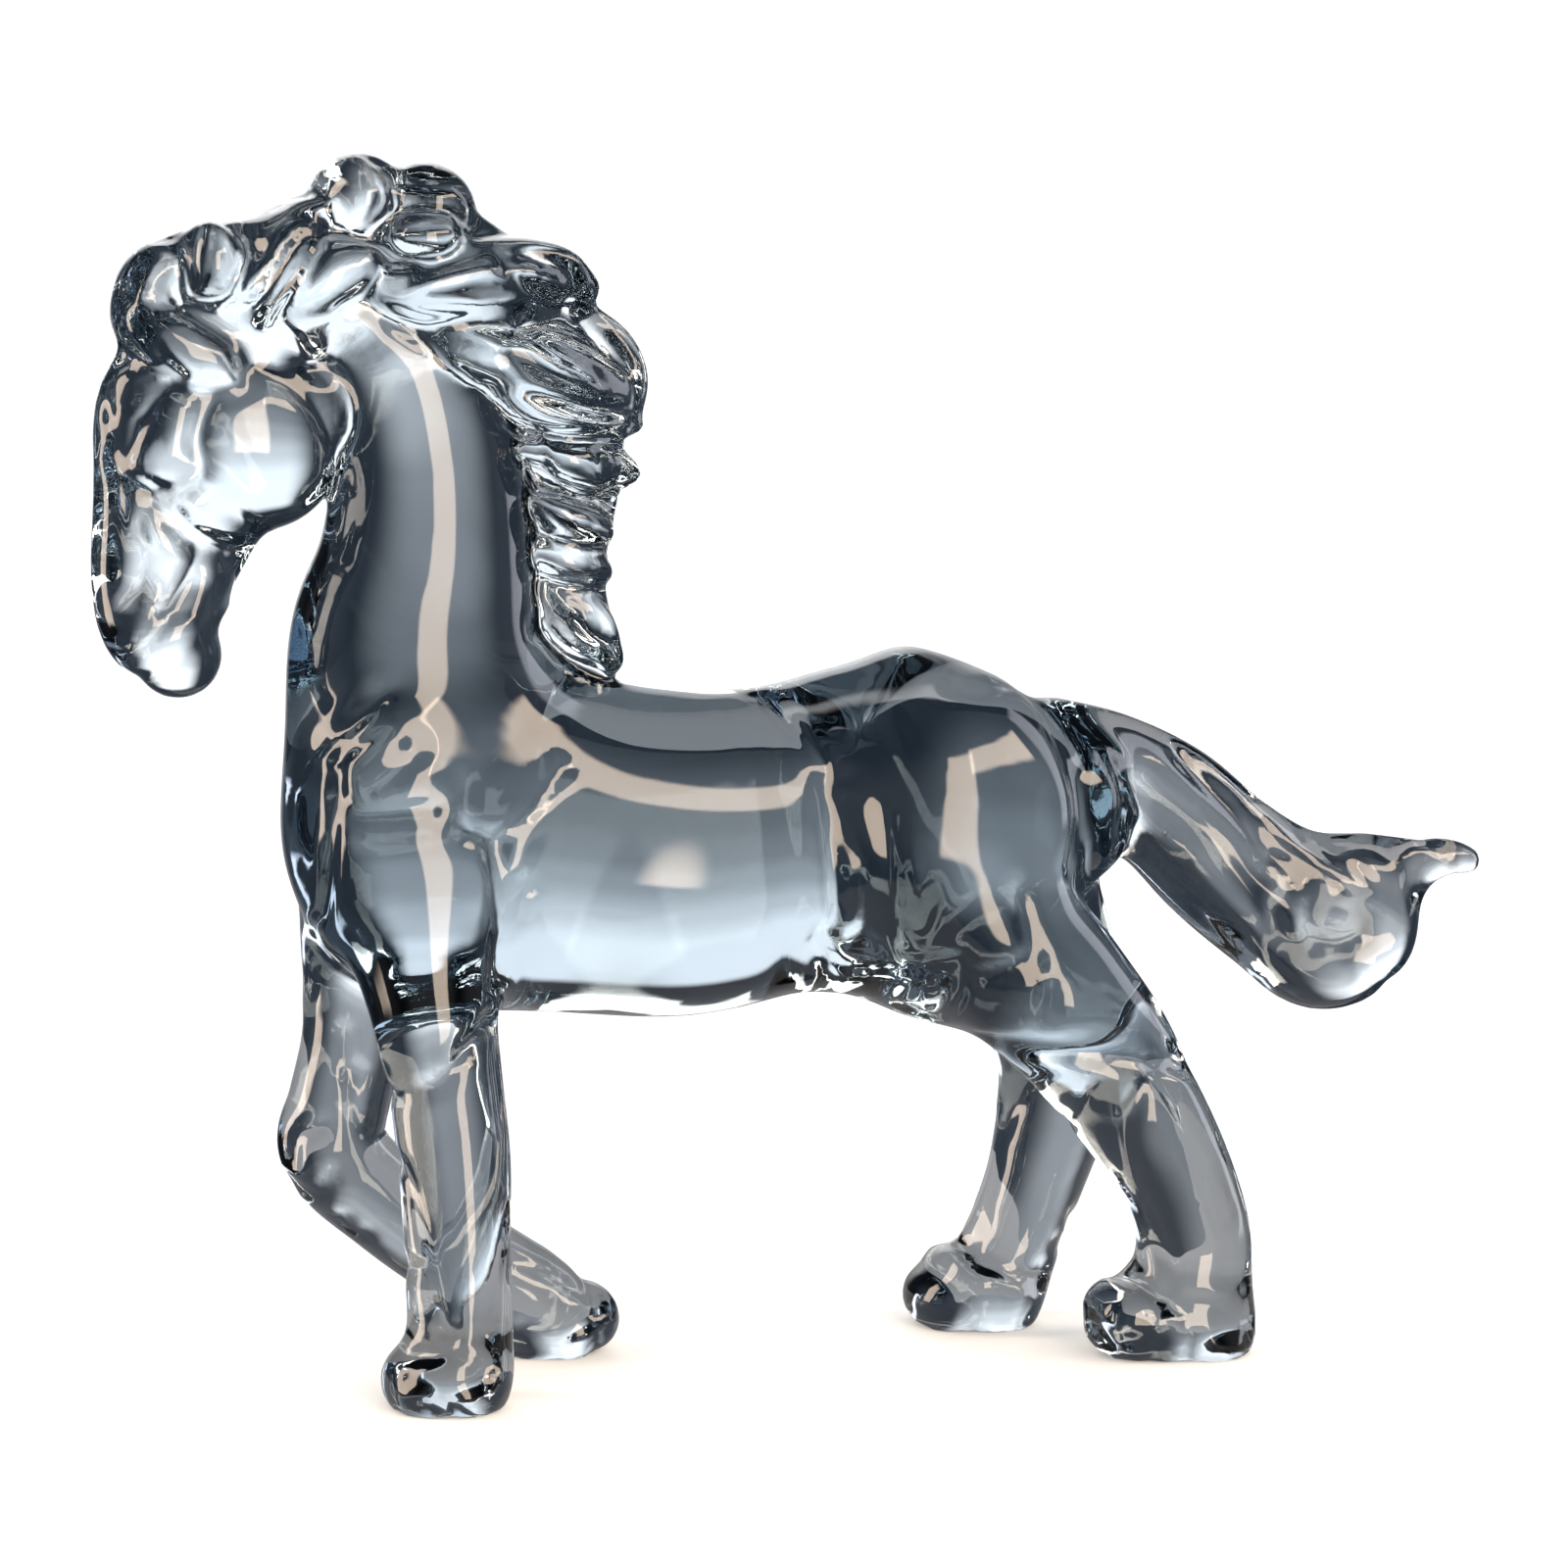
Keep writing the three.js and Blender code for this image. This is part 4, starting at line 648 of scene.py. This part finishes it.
def settle(field, points):
    """Puts the points back on the surface itself, along its slope."""
    grids = [field.value] + np.gradient(field.value)
    for _ in range(SETTLE_ROUNDS):
        spot = (points - field.low) / field.step
        cell = np.floor(spot).astype(int)
        part = spot - cell
        found = np.zeros((4, len(points)))
        for corner in np.ndindex(2, 2, 2):
            share = np.abs(1 - np.array(corner) - part).prod(1)
            at = tuple((cell + corner).T)
            found += share * np.stack([grid[at] for grid in grids])
        value, slope = found[0], found[1:].T / field.step
        step = value / np.maximum((slope ** 2).sum(1), LEAST_SLOPE)
        most = SETTLE_SHARE * field.step
        points = points - np.clip(step[:, None] * slope, -most, most)
    return points


def model_horse():
    """The horse's points in millimetres, and its four-sided faces."""
    field = Field(FIELD_LOW, FIELD_HIGH, SAMPLE_STEP)
    for limb in LIMBS:
        add_limb(field, limb)
    for egg in EGGS:
        add_egg(field, egg)
    for limb in HAIR:
        add_limb(field, limb)
    for limb in PAIRED_HAIR + [lock_limb(lock) for lock in LOCKS]:
        add_limb(field, limb)
        add_limb(field, limb, -1)
    for mark in MARKS:
        press_mark(field, mark)
    fire_polish(field)
    for stroke in FACE + FORELOCK + TOPKNOT + MANE + BODY + TAIL + FAR_LEGS:
        for side in (-1, 1):
            draw_line(field, stroke, side)
    for stroke in NEAR_LEGS:
        draw_line(field, stroke, -1)
    flatten_soles(field)
    points, quads = net_surface(field)
    points = settle(field, even_out(points, quads, EVEN_ROUNDS))
    points = even_out(points, quads, LAST_ROUNDS)
    points[points[:, 2] < SOLE_SNAP, 2] = 0
    return points, quads


def fit_to_solid(points):
    """Sets the form in the solid's own box, in metres."""
    low, high = points.min(0), points.max(0)
    size = np.array(CAD_HIGH) - np.array(CAD_LOW)
    return np.array(CAD_LOW) + (points - low) / (high - low) * size


def make_horse():
    points, quads = model_horse()
    mesh = bpy.data.meshes.new("horse")
    mesh.from_pydata(fit_to_solid(points).tolist(), [], quads.tolist())
    mesh.update()
    mesh.shade_smooth()
    horse = bpy.data.objects.new("horse", mesh)
    bpy.context.scene.collection.objects.link(horse)
    return horse


# Finishes

def linear(hex_colour):
    """An sRGB hex colour as linear red, green, blue and full alpha."""
    parts = [int(hex_colour[i:i + 2], 16) / 255 for i in (1, 3, 5)]
    return tuple(p / 12.92 if p <= 0.04045 else ((p + 0.055) / 1.055) ** 2.4 for p in parts) + (1.0,)


def add_node(tree, kind, settings=None, links=None):
    """Adds a node. settings are its properties, and its sockets by name or number. links say which output
    feeds which socket."""
    node = tree.nodes.new(kind)
    for name, value in (settings or {}).items():
        if isinstance(name, int) or name in node.inputs:
            node.inputs[name].default_value = value
        else:
            setattr(node, name, value)
    for name, output in (links or {}).items():
        tree.links.new(output, node.inputs[name])
    return node


def plain_rays(tree):
    """One for what is seen and lit straight, nought for what is seen through or in the glass."""
    ray = add_node(tree, "ShaderNodeLightPath").outputs
    return add_node(tree, "ShaderNodeMath", {"operation": "MAXIMUM"}, {
        0: ray["Is Camera Ray"], 1: ray["Is Diffuse Ray"]}).outputs[0]


def new_material(name):
    material = bpy.data.materials.new(name)
    material.use_nodes = True
    material.node_tree.nodes.clear()
    return material


def smoky_glass():
    """Soda-lime crystal, tinted smoky blue-grey in the mass and fire-polished: clear, with a faint tint
    that deepens where the glass is thick, and mirror-like all over."""
    material = new_material("smoky blue-grey crystal, fire-polished")
    tree = material.node_tree
    glass = add_node(tree, "ShaderNodeBsdfPrincipled", {
        "Base Color": linear("#f2f5f8"),
        "Roughness": 0.015,
        "IOR": 1.52,
        "Transmission Weight": 1.0,
    })
    tint = add_node(tree, "ShaderNodeVolumeAbsorption", {
        "Color": linear("#6390a5"),
        "Density": 18.0,
    })
    add_node(tree, "ShaderNodeOutputMaterial", links={"Surface": glass.outputs[0], "Volume": tint.outputs[0]})
    return material


def pale_floor():
    """A matt white board: evenly pale, so the glass is all that is seen. What is seen of it in the glass is
    a dimmer board, as one that is shaded from the lamps, which keeps the rims of the feet dark."""
    material = new_material("matt white board")
    tree = material.node_tree
    lit = add_node(tree, "ShaderNodeBsdfPrincipled", {"Base Color": linear("#f1f1f0"), "Roughness": 0.9})
    shaded = add_node(tree, "ShaderNodeBsdfPrincipled", {"Base Color": linear("#8e8f92"), "Roughness": 0.9})
    board = add_node(tree, "ShaderNodeMixShader", links={
        0: plain_rays(tree), 1: shaded.outputs[0], 2: lit.outputs[0]})
    add_node(tree, "ShaderNodeOutputMaterial", links={"Surface": board.outputs[0]})
    return material


# Studio

def make_floor():
    bpy.ops.object.select_all(action="DESELECT")
    bpy.ops.mesh.primitive_circle_add(vertices=TABLE_SIDES, radius=TABLE_RADIUS, fill_type="NGON")
    floor = bpy.context.object
    floor.name = "floor"
    floor.data.materials.append(pale_floor())


def direction(turn, rise):
    """The way to a place round the horse."""
    t, r = math.radians(turn), math.radians(rise)
    return Vector((math.sin(t) * math.cos(r), -math.cos(t) * math.cos(r), math.sin(r)))


def fade_out(tree, value, middle, half, soft):
    """One where a value is within half of the middle, falling to nought over twice soft."""
    away = add_node(tree, "ShaderNodeMath", {"operation": "SUBTRACT", 1: middle}, {0: value})
    size = add_node(tree, "ShaderNodeMath", {"operation": "ABSOLUTE"}, {0: away.outputs[0]})
    return add_node(tree, "ShaderNodeMapRange", {
        "interpolation_type": "SMOOTHSTEP", "From Min": half - soft, "From Max": half + soft,
        "To Min": 1.0, "To Max": 0.0,
    }, {"Value": size.outputs[0]}).outputs[0]


def make_backdrop():
    """A lit panel that stands behind the table and faces the camera. It fades towards its sides, and its
    light goes from dim below to bright above and stops short of the top."""
    light = bpy.data.lights.new("backdrop", "AREA")
    light.shape = "RECTANGLE"
    light.size = BACKDROP_WIDTH
    light.size_y = BACKDROP_HIGH - BACKDROP_LOW
    light.energy = BACKDROP_LIGHT * light.size * light.size_y * math.pi
    light.use_nodes = True
    tree = light.node_tree
    tree.nodes.clear()
    spot = add_node(tree, "ShaderNodeNewGeometry").outputs["Parametric"]
    parts = add_node(tree, "ShaderNodeSeparateXYZ", links={"Vector": spot}).outputs
    ramp = add_node(tree, "ShaderNodeValToRGB", links={"Fac": parts["Y"]})
    ramp.color_ramp.interpolation = "EASE"
    while len(ramp.color_ramp.elements) < len(BACKDROP_TONES):
        ramp.color_ramp.elements.new(0.5)
    for tone, (place, colour) in zip(ramp.color_ramp.elements, BACKDROP_TONES):
        tone.position = place
        tone.color = linear(colour)
    half = BACKDROP_FULL / 2
    across = fade_out(tree, parts["X"], 0.5, (0.5 + half) / 2, (0.5 - half) / 2)
    shine = add_node(tree, "ShaderNodeEmission", links={"Color": ramp.outputs[0], "Strength": across})
    add_node(tree, "ShaderNodeOutputLight", links={"Surface": shine.outputs[0]})
    panel = bpy.data.objects.new("backdrop", light)
    bpy.context.scene.collection.objects.link(panel)
    middle = (BACKDROP_LOW + BACKDROP_HIGH) / 2
    aside = direction(VIEW_TURN + 90, 0) * BACKDROP_ASIDE
    panel.location = aside - direction(VIEW_TURN, 0) * BACKDROP_DISTANCE + Vector((0, 0, middle))
    panel.rotation_euler = (-direction(VIEW_TURN, 0)).to_track_quat("Z", "Y").to_euler()


def softbox(tree, way, panel):
    """A soft-edged panel of light in the studio round the horse. Its turn, rise, width and height are in
    degrees: turn 0 is in front of the near flank and grows to the right."""
    turn, rise, width, height, soft, colour, strength = panel
    aimed = add_node(tree, "ShaderNodeVectorRotate", {
        "rotation_type": "Z_AXIS", "Angle": -math.radians(turn)}, {"Vector": way})
    parts = add_node(tree, "ShaderNodeSeparateXYZ", links={"Vector": aimed.outputs[0]}).outputs
    ahead = add_node(tree, "ShaderNodeMath", {"operation": "MULTIPLY", 1: -1.0}, {0: parts["Y"]})
    side = add_node(tree, "ShaderNodeMath", {"operation": "ARCTAN2"}, {0: parts["X"], 1: ahead.outputs[0]})
    up = add_node(tree, "ShaderNodeMath", {"operation": "ARCSINE"}, {0: parts["Z"]})
    across = fade_out(tree, side.outputs[0], 0.0, math.radians(width / 2), math.radians(soft))
    along = fade_out(tree, up.outputs[0], math.radians(rise), math.radians(height / 2), math.radians(soft))
    share = add_node(tree, "ShaderNodeMath", {"operation": "MULTIPLY"}, {0: across, 1: along})
    power = add_node(tree, "ShaderNodeMath", {"operation": "MULTIPLY", 1: strength}, {0: share.outputs[0]})
    return add_node(tree, "ShaderNodeBackground", {"Color": linear(colour)}, {"Strength": power.outputs[0]})


def make_world():
    """Plain white for the table and behind the horse. What the glass mirrors and bends is the studio."""
    world = bpy.data.worlds.new("studio")
    bpy.context.scene.world = world
    world.use_nodes = True
    tree = world.node_tree
    tree.nodes.clear()
    way = add_node(tree, "ShaderNodeTexCoord").outputs["Generated"]
    room = add_node(tree, "ShaderNodeBackground", {"Color": linear(ROOM_COLOUR), "Strength": ROOM_LIGHT})
    for panel in SOFTBOXES:
        room = add_node(tree, "ShaderNodeAddShader", links={
            0: room.outputs[0], 1: softbox(tree, way, panel).outputs[0]})
    plain = add_node(tree, "ShaderNodeBackground", {"Color": linear("#ffffff"), "Strength": PLAIN_LIGHT})
    whole = add_node(tree, "ShaderNodeMixShader", links={
        0: plain_rays(tree), 1: room.outputs[0], 2: plain.outputs[0]})
    add_node(tree, "ShaderNodeOutputWorld", links={"Surface": whole.outputs[0]})


def make_camera():
    camera = bpy.data.objects.new("camera", bpy.data.cameras.new("camera"))
    bpy.context.scene.collection.objects.link(camera)
    away = direction(VIEW_TURN, VIEW_RISE)
    camera.location = VIEW_AIM + away * VIEW_DISTANCE
    camera.rotation_euler = away.to_track_quat("Z", "Y").to_euler()
    camera.data.lens = LENS
    camera.data.sensor_width = SENSOR
    camera.data.clip_end = CLIP_END
    bpy.context.scene.camera = camera


def make_all():
    make_camera()
    make_floor()
    make_backdrop()
    make_world()
    horse = make_horse()
    horse.data.materials.append(smoky_glass())
    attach(horse, "root")
    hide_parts("glass_horse")


make_all()
bpy.context.scene.view_settings.view_transform = "Standard"
